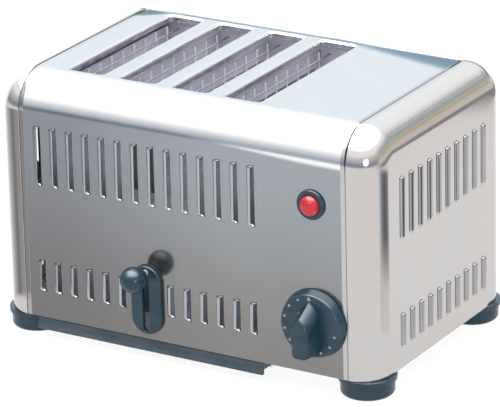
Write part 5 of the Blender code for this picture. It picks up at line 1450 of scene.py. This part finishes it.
def lens_finish():
    """Red clear plastic over moulded ribs, along which lighter pink streaks are painted glints."""
    material, tree = new_material("red_lens")
    place = object_place(tree)
    x, _, z = parts_of(tree, place)
    across = reckon(tree, "SUBTRACT", x, lamp_place[0])
    up = reckon(tree, "SUBTRACT", z, lamp_place[2])
    angle = reckon(tree, "ARCTAN2", up, across)
    ribs = reckon(tree, "SINE", reckon(tree, "MULTIPLY", angle, LENS_RIBS))
    broken = varied(tree, ribs, RIB_SHARE, noise(tree, place, LENS_STRETCH))
    return surfaced(material, tree, Base_Color=toned(tree, broken, LENS_GLINT_SPAN, LENS_RED, LENS_GLINT),
                    Roughness=LENS_GLOSS, Coat_Weight=0.2, Coat_Roughness=0.05, Specular_IOR_Level=0.25,
                    Normal=bump_of(tree, ribs, RIB_RELIEF, 0.4))


profile = [(0, -SOCKET[1]), (SOCKET[0], -SOCKET[1]), (SOCKET[0], BEZEL[1] - EDGE),
           (SOCKET[0] + EDGE, BEZEL[1])]
profile += arc((BEZEL[0] - BEZEL_BEND, BEZEL[1] - BEZEL_BEND), BEZEL_BEND, 90, 0, 6)
profile += [(BEZEL[0], EDGE), (BARREL[0], EDGE), (BARREL[0], -BARREL[1]), (0, -BARREL[1])]
lamp_bezel = turned_piece("lamp_bezel", profile, lamp_place, FRONT, FINE_STEPS)
complete(lamp_bezel, "housing", "black_plastic", "lamp_body", finish=black_plastic)
profile = [(0, EDGE - SOCKET[1]), (LENS_RADIUS, EDGE - SOCKET[1])]
for angle in quarter_turn(LENS_STEPS):
    profile.append((LENS_RADIUS * math.cos(angle) ** LENS_FULLNESS, LENS_SEAT + LENS_RISE * math.sin(angle)))
lamp_dome = turned_piece("lamp_dome", profile, lamp_place, FRONT, FINE_STEPS)
complete(lamp_dome, "housing", "red_lens", "lamp_lens", finish=lens_finish())


# Rear and inner fittings: a ribbed bushing holds the supply cord's place in the back
# panel; terminals, the clockwork timer with its bell and the lamp's nut sit inside.
GLAND_FLANGE = (0.0095, 0.0028)
GLAND_SNOUT = (0.0064, 0.0093)
GLAND_BORE = 0.0038
GLAND_BODY = (0.007, 0.008)
RIB_PITCH = 0.0015
RIB_DEPTH = 0.0005
MOTTLE_SPAN = (0.35, 0.7)
MOTTLE_DEPTH = 0.00002
BRASS_LOOK = (90, MOTTLE_SPAN, ((0.66, 0.47, 0.20, 1), (0.50, 0.36, 0.16, 1)), (0.2, 0.18), MOTTLE_DEPTH)
CERAMIC_LOOK = (200, MOTTLE_SPAN, ((0.74, 0.71, 0.64, 1), (0.62, 0.58, 0.50, 1)), (0.2, 0.3), MOTTLE_DEPTH)

profile = [(GLAND_BORE, -GLAND_BODY[1]), (GLAND_BODY[0] - EDGE, -GLAND_BODY[1]),
           (GLAND_BODY[0], EDGE - GLAND_BODY[1]), (GLAND_BODY[0], EDGE)]
profile += arc((GLAND_FLANGE[0] - EDGE, 2 * EDGE), EDGE, -90, 0, 2)
profile += arc((GLAND_FLANGE[0] - 2 * EDGE, GLAND_FLANGE[1] - EDGE), 2 * EDGE, 0, 90, 4)
height = GLAND_FLANGE[1] + EDGE
groove = GLAND_SNOUT[0] - RIB_DEPTH
while height + RIB_PITCH < GLAND_SNOUT[1]:
    profile += [(groove, height), (groove, height + RIB_PITCH / 3), (GLAND_SNOUT[0], height + RIB_PITCH / 2),
                (GLAND_SNOUT[0], height + 5 * RIB_PITCH / 6)]
    height += RIB_PITCH
for along, first in ((GLAND_SNOUT[0] - 2 * EDGE, 0), (GLAND_BORE + 2 * EDGE, 90)):
    profile += arc((along, GLAND_SNOUT[1] - 2 * EDGE), 2 * EDGE, first, first + 90, 4)
profile.append(profile[0])
gland_place = (GLAND_PLACE[0], in_place(HALF_DEPTH), GLAND_PLACE[1])
bushing = turned_piece("cord_bushing", profile, gland_place, REAR)
complete(bushing, "housing", "black_plastic", "cord_gland", finish=black_plastic)
dress(black_plastic, "timer_body", "lamp_nut")
dress(grained_finish("bell_brass", *BRASS_LOOK, metal=1.0, detail=4.0), "timer_bell")
dress(grained_finish("terminal_ceramic", *CERAMIC_LOOK, detail=4.0), "terminal_block")
